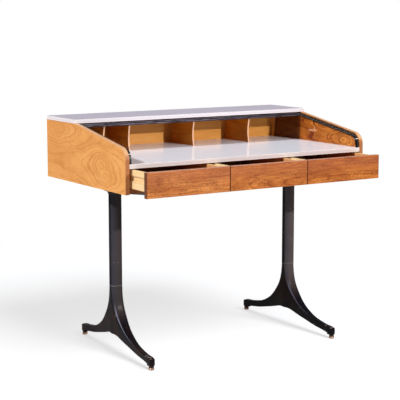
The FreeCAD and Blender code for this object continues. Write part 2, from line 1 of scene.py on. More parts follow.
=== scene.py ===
"""Tambour desk: finishes, the closing roll curtain, the stage, the lamps and the camera.

Metres.  X runs right along the width, Y to the back, Z up from the floor.
"""
import json
import logging
import math
from dataclasses import dataclass, field
from enum import Enum
from typing import Any, Dict, List, Optional, Sequence, Tuple, Union

import bpy
import numpy as np
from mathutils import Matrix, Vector


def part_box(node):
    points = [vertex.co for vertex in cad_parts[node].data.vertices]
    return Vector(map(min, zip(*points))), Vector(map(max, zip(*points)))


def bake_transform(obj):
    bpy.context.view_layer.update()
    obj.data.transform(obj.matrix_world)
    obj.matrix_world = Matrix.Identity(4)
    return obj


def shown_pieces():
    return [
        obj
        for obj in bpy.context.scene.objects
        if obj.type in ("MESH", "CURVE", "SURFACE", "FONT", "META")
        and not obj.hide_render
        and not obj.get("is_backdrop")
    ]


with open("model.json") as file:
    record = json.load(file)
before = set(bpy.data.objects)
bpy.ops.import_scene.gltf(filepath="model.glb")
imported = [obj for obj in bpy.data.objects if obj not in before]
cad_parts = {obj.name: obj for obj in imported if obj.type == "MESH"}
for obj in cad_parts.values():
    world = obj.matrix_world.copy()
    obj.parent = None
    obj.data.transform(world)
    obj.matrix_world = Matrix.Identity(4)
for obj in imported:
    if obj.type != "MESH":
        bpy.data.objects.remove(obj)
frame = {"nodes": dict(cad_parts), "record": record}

LOG = logging.getLogger("tambour_desk")
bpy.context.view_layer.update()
SLOTS = {part["node"]: part["material_slot"] for part in frame["record"]["subparts"]}
JOINTS = {joint["name"]: joint for joint in frame["record"]["behaviour"]["joints"]}
SIDES = (("left", -1.0), ("right", 1.0))

Colour = Tuple[float, float, float]
Point = Tuple[float, float, float]
Face = Tuple[int, ...]

WHITE: Colour = (1.0, 1.0, 1.0)
FIBRE_DEPTH = 0.0002  # relief of the wood's fibres


# ------------------------------------------------------------------ shader graphs
class Wire:
    """A number that flows through a shader graph; each operator adds one Math node."""

    def __init__(self, graph: "Graph", socket: bpy.types.NodeSocket) -> None:
        """Wrap one output socket of a graph."""
        self.graph = graph
        self.socket = socket

    def __add__(self, other: "Number") -> "Wire":
        """Sum with a number."""
        return self.graph.math("ADD", self, other)

    def __radd__(self, other: "Number") -> "Wire":
        """Sum with a number on the left."""
        return self.graph.math("ADD", other, self)

    def __sub__(self, other: "Number") -> "Wire":
        """Difference from a number."""
        return self.graph.math("SUBTRACT", self, other)

    def __rsub__(self, other: "Number") -> "Wire":
        """A number less this value."""
        return self.graph.math("SUBTRACT", other, self)

    def __mul__(self, other: "Number") -> "Wire":
        """Product with a number."""
        return self.graph.math("MULTIPLY", self, other)

    def __rmul__(self, other: "Number") -> "Wire":
        """Product with a number on the left."""
        return self.graph.math("MULTIPLY", other, self)

    def __truediv__(self, other: "Number") -> "Wire":
        """Quotient by a number."""
        return self.graph.math("DIVIDE", self, other)

    def __rtruediv__(self, other: "Number") -> "Wire":
        """A number over this value."""
        return self.graph.math("DIVIDE", other, self)

    def __pow__(self, other: "Number") -> "Wire":
        """Power of this value."""
        return self.graph.math("POWER", self, other)

    def __abs__(self) -> "Wire":
        """Absolute value."""
        return self.graph.math("ABSOLUTE", self)

    def wave(self) -> "Wire":
        """Sine of 2 pi times this value, moved to 0 to 1."""
        return self.graph.math("SINE", self * (2.0 * math.pi)) * 0.5 + 0.5

    def saw(self) -> "Wire":
        """Fractional part."""
        return self.graph.math("FRACT", self)

    def rise(self, low: float, high: float) -> "Wire":
        """Step smoothly from 0 to 1.

        Args:
            low: the value that gives 0.
            high: the value that gives 1, which may be the smaller.

        Returns:
            The step.
        """
        found = self.graph.node("ShaderNodeMapRange", {"interpolation_type": "SMOOTHSTEP"},
                                {"Value": self, "From Min": low, "From Max": high})
        return Wire(self.graph, found.outputs["Result"])

    def band(self, middle: float, half: float, soft: float) -> "Wire":
        """1 within half of a middle value, falling to 0 over soft."""
        return abs(self - middle).rise(half + soft, half)


Number = Union[Wire, float, int]
Tint = Union[Colour, bpy.types.NodeSocket]


class Graph:
    """The node graph of a material, a world or a lamp, with one way to add any node."""

    def __init__(self, owner: Union[bpy.types.Material, bpy.types.World, bpy.types.Light]) -> None:
        """Empty the owner's graph and take it over.

        Args:
            owner: the material, world or lamp.
        """
        self.owner = owner
        owner.use_nodes = True
        self.tree = owner.node_tree
        self.tree.nodes.clear()
        self.coordinates: Optional[Tuple[Wire, Wire, Wire]] = None

    @classmethod
    def of_material(cls, name: str) -> "Graph":
        """Graph of a new material."""
        return cls(bpy.data.materials.new(name))

    def node(self, kind: str, settings: Optional[Dict[str, Any]] = None,
             inputs: Optional[Dict[Union[str, int], Any]] = None) -> bpy.types.Node:
        """Add a node.

        Args:
            kind: the node's type.
            settings: its settings, set first; "stops" are a colour ramp's (place, colour) pairs.
            inputs: values or links for its sockets, by name or number.

        Returns:
            The new node.
        """
        made = self.tree.nodes.new(kind)
        for key, value in (settings or {}).items():
            if key == "stops":
                self._set_stops(made, value)
            else:
                setattr(made, key, value)
        for key, value in (inputs or {}).items():
            self.feed(made.inputs[key], value)
        return made

    @staticmethod
    def _set_stops(ramp: bpy.types.Node, stops: Sequence[Tuple[float, Colour]]) -> None:
        """Give a colour ramp its stops.

        Args:
            ramp: the ramp's node.
            stops: places from 0 to 1 with their colours.
        """
        elements = ramp.color_ramp.elements
        while len(elements) < len(stops):
            elements.new(1.0)
        for element, (place, colour) in zip(elements, stops):
            element.position = place
            element.color = (*colour, 1.0)

    def feed(self, socket: bpy.types.NodeSocket, value: Any) -> None:
        """Link a socket to a wire or an output, or set its own value.

        Args:
            socket: the socket to feed.
            value: a wire, an output, a colour, or a number.
        """
        if isinstance(value, Wire):
            self.tree.links.new(value.socket, socket)
        elif isinstance(value, bpy.types.NodeSocket):
            self.tree.links.new(value, socket)
        elif socket.type == "RGBA":
            socket.default_value = (*value, 1.0)
        else:
            socket.default_value = value

    def math(self, operation: str, *terms: Number) -> Wire:
        """Add a Math node on one, two or three terms."""
        made = self.node("ShaderNodeMath", {"operation": operation}, dict(enumerate(terms)))
        return Wire(self, made.outputs[0])

    def ray(self, kind: str) -> Wire:
        """1 on rays of one kind, such as Camera, and 0 on the others."""
        return Wire(self, self.node("ShaderNodeLightPath").outputs["Is %s Ray" % kind])

    def seen(self) -> Wire:
        """1 on rays from the camera, straight or through glass, and 0 on the others."""
        return self.math("MAXIMUM", self.ray("Camera"), self.ray("Transmission"))

    def parts(self, vector: bpy.types.NodeSocket) -> Tuple[Wire, Wire, Wire]:
        """Three components of a vector."""
        split = self.node("ShaderNodeSeparateXYZ", None, {0: vector})
        return tuple(Wire(self, socket) for socket in split.outputs)

    def place(self) -> Tuple[Wire, Wire, Wire]:
        """Find the object coordinates, with one node that the whole graph shares.

        Returns:
            Coordinates x, y and z.
        """
        if self.coordinates is None:
            self.coordinates = self.parts(self.node("ShaderNodeTexCoord").outputs["Object"])
        return self.coordinates

    def facing(self) -> Tuple[Wire, Wire, Wire]:
        """Components of the surface's normal."""
        return self.parts(self.node("ShaderNodeNewGeometry").outputs["Normal"])

    def vector(self, x: Number, y: Number, z: Number) -> bpy.types.NodeSocket:
        """Join three numbers in a vector."""
        return self.node("ShaderNodeCombineXYZ", None, {0: x, 1: y, 2: z}).outputs[0]

    def noise(self, x: Number, y: Number, z: Number, detail: float = 2.0, roughness: float = 0.5) -> Wire:
        """Add noise at a scaled point.

        Args:
            x: first coordinate, in waves.
            y: second coordinate.
            z: third coordinate.
            detail: number of finer waves.
            roughness: strength of the finer waves.

        Returns:
            Noise from 0 to 1.
        """
        made = self.node("ShaderNodeTexNoise", {"noise_dimensions": "3D"},
                         {"Vector": self.vector(x, y, z), "Scale": 1.0, "Detail": detail,
                          "Roughness": roughness})
        return Wire(self, made.outputs[0])

    def cloud(self, waves: Union[float, Point], detail: float = 2.0, roughness: float = 0.5) -> Wire:
        """Add noise over the piece.

        Args:
            waves: waves per metre, one number or one for each axis.
            detail: number of finer waves.
            roughness: strength of the finer waves.

        Returns:
            Noise from 0 to 1.
        """
        counts = waves if isinstance(waves, tuple) else (waves,) * 3
        return self.noise(*(at * count for at, count in zip(self.place(), counts)), detail, roughness)

    def mix(self, factor: Number, low: Tint, high: Tint) -> bpy.types.NodeSocket:
        """Mix two colours: low at 0 and high at 1."""
        made = self.node("ShaderNodeMix", {"data_type": "RGBA"}, {0: factor, 6: low, 7: high})
        return made.outputs[2]

    def ramp(self, factor: Number, stops: Sequence[Tuple[float, Colour]]) -> bpy.types.NodeSocket:
        """Colour ramp over a number."""
        return self.node("ShaderNodeValToRGB", {"stops": stops}, {0: factor}).outputs[0]

    def bump(self, height: Wire, depth: float, strength: float = 1.0) -> bpy.types.NodeSocket:
        """Normal from a height of 0 to 1, depth metres deep."""
        return self.node("ShaderNodeBump", None, {"Height": height, "Distance": depth,
                                                  "Strength": strength}).outputs[0]

    def blend(self, factor: Number, low: bpy.types.Node, high: bpy.types.Node) -> bpy.types.Node:
        """Mix two shaders: low at 0 and high at 1."""
        return self.node("ShaderNodeMixShader", None, {0: factor, 1: low.outputs[0], 2: high.outputs[0]})

    def finish(self, colour: Tint, roughness: Number, normal: Optional[bpy.types.NodeSocket] = None,
               **constants: Any) -> bpy.types.Material:
        """Close the graph with a Principled shader.

        Args:
            colour: base colour.
            roughness: roughness, one number or a wire.
            normal: output of a bump.
            constants: other sockets' own values, with _ for a space in their names.

        Returns:
            The finished material.
        """
        inputs: Dict[Union[str, int], Any] = {"Base Color": colour, "Roughness": roughness}
        if normal is not None:
            inputs["Normal"] = normal
        inputs.update({key.replace("_", " "): value for key, value in constants.items()})
        return self.close(self.node("ShaderNodeBsdfPrincipled", None, inputs))

    def close(self, surface: bpy.types.Node) -> Any:
        """Send a shader to the output.

        Args:
            surface: the shader's node.

        Returns:
            The graph's owner.
        """
        kinds = {bpy.types.Material: "Material", bpy.types.World: "World", bpy.types.Light: "Light"}
        word = next(word for kind, word in kinds.items() if isinstance(self.owner, kind))
        self.node("ShaderNodeOutput" + word, None, {"Surface": surface.outputs[0]})
        return self.owner


# ------------------------------------------------------------------ wood
class Axis(Enum):
    """Axis of the desk."""

    X = 0
    Y = 1
    Z = 2


@dataclass(frozen=True)
class Eye:
    """A place in the veneer where the growth lines close round a point.

    Near it the lines are ovals, stretch times longer than wide; farther along the grain than
    stretch times reach they run straight.  A higher start leaves fewer lines inside.
    """

    along: float
    across: float
    stretch: float
    reach: float
    start: float = 0.0


@dataclass(frozen=True)
class Veneer:
    """Figured wood: growth lines and bands along the grain, fibre streaks, clouds and flecks."""

    dark: Colour
    middle: Colour
    light: Colour
    along: Axis = Axis.X
    across: Axis = Axis.Z
    spacing: float = 0.012
    wander: float = 0.02
    wander_length: float = 0.15
    tremble: float = 0.002
    tremble_length: float = 0.022
    tremble_width: float = 0.009
    cloud_share: float = 0.5
    band_share: float = 0.5
    streak_share: float = 0.5
    line_share: float = 0.2
    streak_width: float = 0.0022
    streak_length: float = 0.06
    fleck_share: float = 0.3
    fleck_colour: Colour = (0.10, 0.03, 0.01)
    fleck_width: float = 0.0016
    fleck_length: float = 0.018
    seed: float = 0.0
    eyes: Tuple[Eye, ...] = ()


class Figure:
    """A veneer drawn in one graph: places along and across its grain, its fibre and its colour."""

    def __init__(self, graph: Graph, veneer: Veneer) -> None:
        """Find the place along the grain, and the place over it as the wood wanders.

        The place over is the one across, moved by a slow noise times wander and a fine one times
        tremble.  The fibre is a fine noise, long along the grain, from 0 to 1.

        Args:
            graph: the graph to draw in.
            veneer: the veneer to draw.
        """
        self.graph, self.veneer = graph, veneer
        place = graph.place()
        along, across = place[veneer.along.value], place[veneer.across.value]
        slow = graph.noise(along / veneer.wander_length + veneer.seed,
                           across / (veneer.wander_length * 0.45), veneer.seed * 1.7)
        fine = graph.noise(along / veneer.tremble_length, across / veneer.tremble_width + veneer.seed,
                           veneer.seed)
        self.along = along
        self.over = across + (slow - 0.5) * veneer.wander + (fine - 0.5) * veneer.tremble
        self.fibre = graph.noise(along / veneer.streak_length, self.over / veneer.streak_width,
                                 veneer.seed, 3.0, 0.62)

    def growth(self) -> Wire:
        """Measure the growth distance, whose equal values are the wood's lines.

        Without eyes it is the place over the grain.  Round an eye it is the eye's start plus the
        root of two squares: that of the distance over, and that of the distance along divided by
        the root of stretch squared plus the square of (distance along / reach).  Several eyes
        meet in a smooth minimum.

        Returns:
            The growth distance in metres.
        """
        found: Optional[Wire] = None
        for eye in self.veneer.eyes:
            run = self.along - eye.along
            leg = run / (run * run / eye.reach ** 2 + eye.stretch ** 2) ** 0.5
            rise = self.over - eye.across
            ring = (leg * leg + rise * rise) ** 0.5 + eye.start
            found = ring if found is None else self.graph.math("SMOOTH_MIN", found, ring, self.veneer.spacing)
        return self.over if found is None else found

    def lines(self, count: Wire) -> Wire:
        """Draw growth lines: each darkens slowly and ends at once, at uneven spacing.

        Args:
            count: growth distance counted in spacings.

        Returns:
            1 on a strong line and 0 between the lines.
        """
        uneven = self.graph.noise(count * 0.7, self.along * 3.0, self.veneer.seed, 1.0)
        phase = (count + uneven * 1.6).saw()
        strong = self.graph.noise(count * 0.9, self.along * 9.0, self.veneer.seed + 4.0)
        return phase.rise(0.62, 0.93) * phase.rise(1.0, 0.95) * strong.rise(0.28, 0.54)

    def flecks(self) -> Wire:
        """Scatter short dark flecks in loose clusters.

        Returns:
            The flecks' share in a fleck, and 0 between them.
        """
        veneer = self.veneer
        grains = self.graph.noise(self.along / veneer.fleck_length + veneer.seed,
                                  self.over / veneer.fleck_width, veneer.seed, 2.0, 0.55)
        cluster = self.graph.noise(self.along * 14.0 + veneer.seed, self.over * 45.0, 2.0)
        return (grains + (cluster - 0.5) * 0.40).rise(0.52, 0.68) * veneer.fleck_share

    def colour(self) -> bpy.types.NodeSocket:
        """Add up clouds, bands, streaks of fibre and lines on a ramp from dark to light wood.

        Returns:
            The veneer's colour.
        """
        graph, veneer = self.graph, self.veneer
        count = self.growth() / veneer.spacing
        cloud = graph.noise(self.along * 7.0 + veneer.seed, self.over * 20.0, veneer.seed, 2.0, 0.6)
        band = graph.noise(count * 0.8, self.along * 2.5, veneer.seed + 9.0, 3.0, 0.6)
        tone = ((cloud - 0.5) * veneer.cloud_share + (band - 0.5) * veneer.band_share
                + (self.fibre - 0.5) * veneer.streak_share + 0.5 - self.lines(count) * veneer.line_share)
        body = graph.ramp(tone, ((0.24, veneer.dark), (0.50, veneer.middle), (0.76, veneer.light)))
        return graph.mix(self.flecks(), body, veneer.fleck_colour)

    def oiled(self, colour: Tint, roughness: float, sheen: float = 0.12, relief: float = 0.4,
              gloss: float = 0.20) -> bpy.types.Material:
        """Close the graph with a sheen and a relief that follow the fibre.

        Args:
            colour: the wood's colour.
            roughness: roughness between the fibres.
            sheen: how much rougher the fibres are.
            relief: strength of the fibres' relief.
            gloss: strength of the mirrored light.

        Returns:
            The finished material.
        """
        return self.graph.finish(colour, self.fibre * sheen + roughness,
                                 self.graph.bump(self.fibre, FIBRE_DEPTH, relief), Specular_IOR_Level=gloss)


@dataclass(frozen=True)
class WoodFinish:
    """A plain board: one veneer all over, with painted shade in brown on the faces that look one way along X.
    """

    name: str
    veneer: Veneer
    roughness: float
    painted_shade_way: float = 0.0
    brown: Colour = (0.62, 0.24, 0.055)

    def build(self) -> bpy.types.Material:
        """Make the board's material.

        Returns:
            The finished material.
        """
        graph = Graph.of_material(self.name)
        wood = Figure(graph, self.veneer)
        colour = wood.colour()
        # Painted shade: the faces that look that way along X, the drawer sides' inner faces, are painted
        # brown.
        if self.painted_shade_way:
            turned = (graph.facing()[0] * self.painted_shade_way).rise(0.5, 0.8)
            colour = graph.mix(turned * 0.8, colour, self.brown)
        return wood.oiled(colour, self.roughness)


@dataclass(frozen=True)
class PanelFinish:
    """Side panel: one veneer outside and another inside, with plies along its edges.

    Inside it has painted shade back in the pigeonholes and painted light under the writing surface;
    outside it is a little browner towards the back, and a painted highlight runs along its rounded edges.
    """

    name: str
    side: float
    outside: Veneer
    inside: Veneer
    scratch: Optional[Tuple[float, float]] = None
    # Painted shade back in the pigeonholes, painted light below the writing surface, and a painted highlight
    # along the rounded edges.
    painted_shade_from: Tuple[float, float] = (0.09, 0.17)
    painted_light_below: Tuple[float, float] = (0.742, 0.738)
    band_below: Tuple[float, float] = (0.80, 0.785)
    painted_shade: Colour = (0.065, 0.010, 0.002)
    painted_light: Colour = (0.78, 0.36, 0.10)
    browner_tone: Colour = (0.60, 0.235, 0.05)
    painted_edge_highlight: Colour = (0.80, 0.50, 0.30)
    torn: Colour = (0.80, 0.52, 0.36)

    def plies(self, graph: Graph) -> bpy.types.NodeSocket:
        """Lay three brown plies with two pale ones between them, and a brown band on the upright front.

        Args:
            graph: the panel's graph.

        Returns:
            The colour of the edges.
        """
        x, _, z = graph.place()
        low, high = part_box("right_side_panel")
        deep = (abs(x) - low.x) / (high.x - low.x)
        ply = ((deep + graph.cloud((30.0, 25.0, 25.0)) * 0.04) * 2.5).wave()
        fibre = graph.cloud((900.0, 60.0, 60.0), 2.0, 0.6)
        slope = graph.ramp(ply * 0.8 + fibre * 0.2,
                           ((0.15, (0.77, 0.50, 0.31)), (0.50, (0.62, 0.34, 0.17)),
                            (0.90, (0.43, 0.20, 0.08))))
        band = graph.mix(fibre, (0.30, 0.095, 0.026), (0.46, 0.17, 0.055))
        upright = graph.facing()[1].rise(-0.80, -0.98) * z.rise(*self.band_below)
        return graph.mix(upright * 0.9, slope, band)

    def inner(self, graph: Graph) -> bpy.types.NodeSocket:
        """Lay the inner veneer with its painted shade and painted light, and a pale scratch where there is
        one.

        The scratch is a long blade along the grain with slanting ends, and a short upright stroke
        above it.

        Args:
            graph: the panel's graph.

        Returns:
            The colour of the inner face.
        """
        _, y, z = graph.place()
        wood = Figure(graph, self.inside).colour()
        # Painted shade: back under the slab the inner face is painted near black.
        wood = graph.mix(y.rise(*self.painted_shade_from) * 0.78, wood, self.painted_shade)
        # Painted light: below the writing surface the inner face is painted lighter.
        wood = graph.mix(z.rise(*self.painted_light_below) * 0.8, wood, self.painted_light)
        if self.scratch is None:
            return wood
        along, up = self.scratch
        torn = graph.noise(y * 130.0, z * 210.0, 4.0, 3.0, 0.7)
        blade = (y + (z - up) * 1.6).band(along, 0.020, 0.012) * z.band(up, 0.0022, 0.0030)
        stroke = y.band(along - 0.012, 0.0022, 0.0030) * z.band(up + 0.009, 0.006, 0.006)
        mark = graph.math("MAXIMUM", blade, stroke) * torn.rise(0.38, 0.52)
        return graph.mix(mark * 0.42, wood, self.torn)

    def build(self) -> bpy.types.Material:
        """Pick outside, inside or plies by the way the surface faces.

        Returns:
            The finished material.
        """
        graph = Graph.of_material(self.name)
        y = graph.place()[1]
        nx = graph.facing()[0]
        outside = Figure(graph, self.outside)
        outer = graph.mix(y.rise(-0.05, 0.34) * 0.35, outside.colour(), self.browner_tone)
        faces = graph.mix((nx * self.side).rise(-0.2, 0.2), self.inner(graph), outer)
        colour = graph.mix(abs(nx).rise(0.55, 0.80), self.plies(graph), faces)
        # Painted highlight along the rounded edges of the faces.
        colour = graph.mix(abs(nx).band(0.90, 0.04, 0.05) * 0.7, colour, self.painted_edge_highlight)
        return outside.oiled(colour, 0.36, sheen=0.10, relief=0.3)


@dataclass(frozen=True)
class Knot:
    """Small dark oval ring in a drawer's front, as long as twice its size."""

    along: float
    up: float
    size: float


@dataclass(frozen=True)
class FrontFinish:
    """Drawer front: red-brown veneer deeper towards the top, partly as painted shade; painted highlights on
    its eased edges and top edge; painted shade at its ends.
    """

    name: str
    node: str
    veneer: Veneer
    knots: Tuple[Knot, ...] = ()
    # Widths and colours below: painted shade in the gaps at the ends, and painted highlights on the eased
    # edges and the top edge.
    gap_shade_width: Tuple[float, float] = (0.0022, 0.0008)
    deeper: Colour = (0.40, 0.115, 0.050)
    ring: Colour = (0.12, 0.026, 0.008)
    painted_bevel_highlight: Colour = (0.62, 0.33, 0.24)
    joint: Colour = (0.060, 0.012, 0.003)
    painted_top_highlight: Colour = (0.50, 0.26, 0.19)

    def face(self, wood: Figure) -> bpy.types.NodeSocket:
        """Lay the veneer, deeper towards the top partly as painted shade, with its knots.

        A knot's ring lies where the squares of the distances along and up, over its half length
        and its half height, add up to about 1.

        Args:
            wood: the front's veneer.

        Returns:
            The colour of the front face.
        """
        graph = wood.graph
        x, _, z = graph.place()
        low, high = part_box(self.node)
        height = (z - low.z) / (high.z - low.z)
        # Darker towards the top: partly the wood's own tone, partly painted shade, as the floor lights the
        # lower part.
        colour = graph.mix(height.rise(0.15, 0.95) * 0.46, wood.colour(), self.deeper)
        for knot in self.knots:
            far = ((x - knot.along) / knot.size) ** 2.0 + ((z - knot.up) / (knot.size * 0.42)) ** 2.0
            line = far.rise(0.35, 0.75) * far.rise(1.9, 1.05)
            colour = graph.mix(line * 0.75, colour, self.ring)
        return colour

    def build(self) -> bpy.types.Material:
        """Paint highlights on the eased edges and the top edge, paint shade on the ends, and give the back
        its own wood.

        Returns:
            The finished material.
        """
        graph = Graph.of_material(self.name)
        x = graph.place()[0]
        ny, nz = graph.facing()[1:]
        low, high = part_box(self.node)
        wood = Figure(graph, self.veneer)
        blotches = graph.cloud(40.0, 3.0, 0.6)
        # Painted highlight along the eased edges of the face.
        colour = graph.mix(abs(ny).band(0.85, 0.09, 0.04) * (blotches * 0.6 + 0.35), self.face(wood), self.painted_bevel_highlight)
        # Painted shade: the face darkens within about 2 mm of each end, standing for the shade in the gaps
        # between the fronts.
        ends = (x - low.x).rise(*self.gap_shade_width) + (high.x - x).rise(*self.gap_shade_width)
        colour = graph.mix(ends * 0.80, colour, self.joint)
        # Painted shade: the end faces are painted dark, as the gaps between the fronts lie in shade.
        side = graph.mix(blotches, (0.090, 0.021, 0.004), (0.16, 0.048, 0.012))
        # Painted highlight: the top edge is painted light.
        side = graph.mix(nz.rise(0.5, 0.9), side, self.painted_top_highlight)
        colour = graph.mix(abs(ny).rise(0.70, 0.45), colour, side)
        back = graph.mix(wood.fibre, (0.15, 0.045, 0.015), (0.27, 0.095, 0.035))
        colour = graph.mix(ny.rise(0.5, 0.8), colour, back)
        return wood.oiled(colour, 0.34, sheen=0.14, gloss=0.22)


@dataclass(frozen=True)
class DividerFinish:
    """Pigeonhole divider: orange-brown faces and a pale front edge."""

    name: str
    veneer: Veneer
    edge: Colour = (0.72, 0.43, 0.27)
    brown_ply: Colour = (0.52, 0.27, 0.15)

    def build(self) -> bpy.types.Material:
        """Pick face or edge by the way the surface faces.

        Returns:
            The finished material.
        """
        graph = Graph.of_material(self.name)
        plies = graph.cloud((1500.0, 40.0, 40.0), 2.0, 0.6)
        edge = graph.mix(plies * 0.5, self.edge, self.brown_ply)
        wood = Figure(graph, self.veneer)
        colour = graph.mix(abs(graph.facing()[0]).rise(0.5, 0.7), edge, wood.colour())
        return wood.oiled(colour, 0.42, relief=0.3)


# ------------------------------------------------------------------ other finishes
@dataclass(frozen=True)
class LaminateFinish:
    """White laminate board, faintly lilac, with edge bands of another white and a brown underside."""

    name: str
    node: str
    face: Colour
    edge: Colour
    roughness: float
    seam_inset: float
    gloss: float
    seam: Colour = (0.42, 0.34, 0.36)
    grime: Colour = (0.62, 0.50, 0.47)
    edge_line: Colour = (0.50, 0.45, 0.50)
    underside: Colour = (0.34, 0.085, 0.026)

    def faces(self, graph: Graph) -> bpy.types.NodeSocket:
        """Lay the laminate, with a broken dark seam behind its front edge.

        Args:
            graph: the board's graph.

        Returns:
            The colour of the top.
        """
        x, y, _ = graph.place()
        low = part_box(self.node)[0]
        cloud = graph.cloud((5.0, 7.0, 5.0), 3.0, 0.6)
        face = graph.mix(cloud * 0.5, self.face, tuple(0.96 * c for c in self.face))
        dashes = graph.noise(x * 160.0, 1.0, 2.0, 2.0, 0.7).rise(0.40, 0.56)
        seam = (y - low.y).band(self.seam_inset, 0.0008, 0.0010) * dashes
        return graph.mix(seam * 0.45, face, self.seam)

    def edges(self, graph: Graph) -> bpy.types.NodeSocket:
        """Lay the edge band, a little grimy, with a faint line along its middle.

        Args:
            graph: the board's graph.

        Returns:
            The colour of the edges.
        """
        z = graph.place()[2]
        low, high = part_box(self.node)
        grime = graph.cloud((18.0, 60.0, 90.0), 3.0, 0.65).rise(0.58, 0.80)
        edge = graph.mix(grime * 0.25, self.edge, self.grime)
        height = (z - low.z) / (high.z - low.z)
        return graph.mix(height.band(0.45, 0.07, 0.10) * 0.30, edge, self.edge_line)

    def build(self) -> bpy.types.Material:
        """Pick top, edges or the brown underside by the way the surface faces.

        Returns:
            The finished material.
        """
        graph = Graph.of_material(self.name)
        nz = graph.facing()[2]
        colour = graph.mix(abs(nz).rise(0.70, 0.92), self.edges(graph), self.faces(graph))
        colour = graph.mix(nz.rise(-0.5, -0.8), colour, self.underside)
        scuff = graph.cloud((9.0, 26.0, 9.0), 4.0, 0.65)
        return graph.finish(colour, scuff * 0.04 + self.roughness,
                            graph.bump(graph.cloud(90.0), 0.00001, 0.1), Specular_IOR_Level=self.gloss)


@dataclass(frozen=True)
class PaintedSheen:
    """Painted sheen on enamel: lighter where it faces front and left, browner where it turns right.

    It fades in over a span of heights.
    """

    above: Tuple[float, float]
    light: Colour
    brown: Colour


@dataclass(frozen=True)
class EnamelFinish:
    """Black stove enamel: soft orange peel, worn brown, small chips, bare metal at joints."""

    name: str
    colour: Colour = (0.011, 0.010, 0.013)
    worn: Colour = (0.034, 0.020, 0.015)
    worn_share: float = 0.5
    roughness: float = 0.18
    gloss: float = 0.45
    seams: Tuple[float, ...] = ()
    painted_sheen: Optional[PaintedSheen] = None
    ridge: Optional[Tuple[float, float]] = None
    chipped_below: Optional[float] = None
    painted_ridge_highlight: Colour = (0.16, 0.16, 0.235)
    bare: Colour = (0.34, 0.30, 0.29)
    chipped: Colour = (0.46, 0.36, 0.34)

    def wear(self, graph: Graph, cloud: Wire) -> bpy.types.NodeSocket:
        """Wear the enamel with brown clouds, and paint a sheen on its front and a highlight on the ridge
        between two faces.

        Args:
            graph: the piece's graph.
            cloud: slow clouds over the piece.

        Returns:
            The enamel's colour.
        """
        z = graph.place()[2]
        nx, ny, _ = graph.facing()
        body = graph.mix(cloud.rise(0.46, 0.70) * self.worn_share, self.colour, self.worn)
        if self.painted_sheen is not None:
            # Painted sheen: lighter towards the front and left, browner where it turns right.
            front = (ny * -0.90 + nx * -0.35).rise(0.46, 0.76) * z.rise(*self.painted_sheen.above)
            lighter_tone = graph.mix(nx.rise(-0.75, 0.0), self.painted_sheen.light, self.painted_sheen.brown)
            body = graph.mix(front * (cloud * 0.5 + 0.5), body, lighter_tone)
        if self.ridge is not None:
            low, high = self.ridge
            # Painted highlight: a bluish line along the rounded ridge between two faces.
            turned = abs(nx).band(0.66, 0.05, 0.16) * z.rise(low, low + 0.035) * z.rise(high, high - 0.05)
            body = graph.mix(turned * (cloud * 0.8 + 0.2), body, self.painted_ridge_highlight)
        return body

    def chip(self, graph: Graph, body: bpy.types.NodeSocket) -> bpy.types.NodeSocket:
        """Chip and scratch the enamel, and bare the metal at its joints and on top of the toes.

        Args:
            graph: the piece's graph.
            body: the whole enamel's colour.

        Returns:
            The colour with its chips.
        """
        x, y, z = graph.place()
        spots = graph.cloud((150.0, 150.0, 130.0), 1.0)
        thick = graph.cloud((24.0, 24.0, 18.0))
        body = graph.mix(spots.rise(0.745, 0.775) * thick.rise(0.48, 0.56) * 0.8, body, self.bare)
        scratch = graph.noise(x * 260.0 + z * 80.0, y * 260.0, z * 22.0, 2.0, 0.6)
        body = graph.mix(scratch.rise(0.70, 0.78) * thick.rise(0.50, 0.60) * 0.5, body, self.bare)
        for seam in self.seams:
            body = graph.mix(z.band(seam, 0.0006, 0.0009) * 0.75, body, self.bare)
        if self.chipped_below is not None:
            upward = graph.facing()[2].rise(0.35, 0.75)
            toes = upward * z.rise(self.chipped_below, self.chipped_below - 0.006)
            chips = graph.cloud((120.0, 90.0, 90.0), 3.0, 0.65)
            body = graph.mix(toes * chips.rise(0.50, 0.60) * 0.75, body, self.chipped)
        return body

    def build(self) -> bpy.types.Material:
        """Make the enamel.

        Returns:
            The finished material.
        """
        graph = Graph.of_material(self.name)
        cloud = graph.cloud((9.0, 9.0, 7.0), 4.0, 0.65)
        body = self.chip(graph, self.wear(graph, cloud))
        return graph.finish(body, cloud * 0.14 + self.roughness, graph.bump(graph.cloud(240.0), 0.0001, 0.25),
                            Specular_IOR_Level=self.gloss)


@dataclass(frozen=True)
class LacquerFinish:
    """Black lacquer on wood: pale fine scratches along the bar, most at its left end, two pale lines that are
    part wear and part painted highlight, and painted shade underneath.
    """

    name: str
    colour: Colour
    lighter_tone: Colour
    share: float
    wear_and_highlight_lines: Tuple[float, float] = (0.30, 0.86)

    def build(self) -> bpy.types.Material:
        """Make the lacquer with its scratches and pale lines along the bar, and painted shade underneath.

        Returns:
            The finished material.
        """
        graph = Graph.of_material(self.name)
        x, _, z = graph.place()
        hairs = graph.cloud((16.0, 420.0, 420.0), 3.0, 0.7)
        cloud = graph.cloud((24.0, 30.0, 30.0), 3.0, 0.6)
        mark = hairs.rise(0.40, 0.66) * cloud.rise(0.30, 0.55) * (x.rise(0.50, -0.10) * 0.75 + 0.25)
        colour = graph.mix(mark * self.share, self.colour, self.lighter_tone)
        low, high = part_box("tambour_pull_bar")
        height = (z - low.z) / (high.z - low.z)
        # Pale lines along the bar: part wear, part painted highlight.
        for worn in self.wear_and_highlight_lines:
            line = height.band(worn, 0.030, 0.040) * hairs.rise(0.38, 0.56)
            colour = graph.mix(line * 0.7, colour, self.lighter_tone)
        # Painted shade: the faces turned down are painted darker.
        under = graph.facing()[2].rise(-0.35, -0.75)
        colour = graph.mix(under * 0.7, colour, tuple(0.35 * c for c in self.colour))
        return graph.finish(colour, cloud * 0.18 + 0.34, graph.bump(hairs, 0.0001, 0.3),
                            Specular_IOR_Level=0.14)


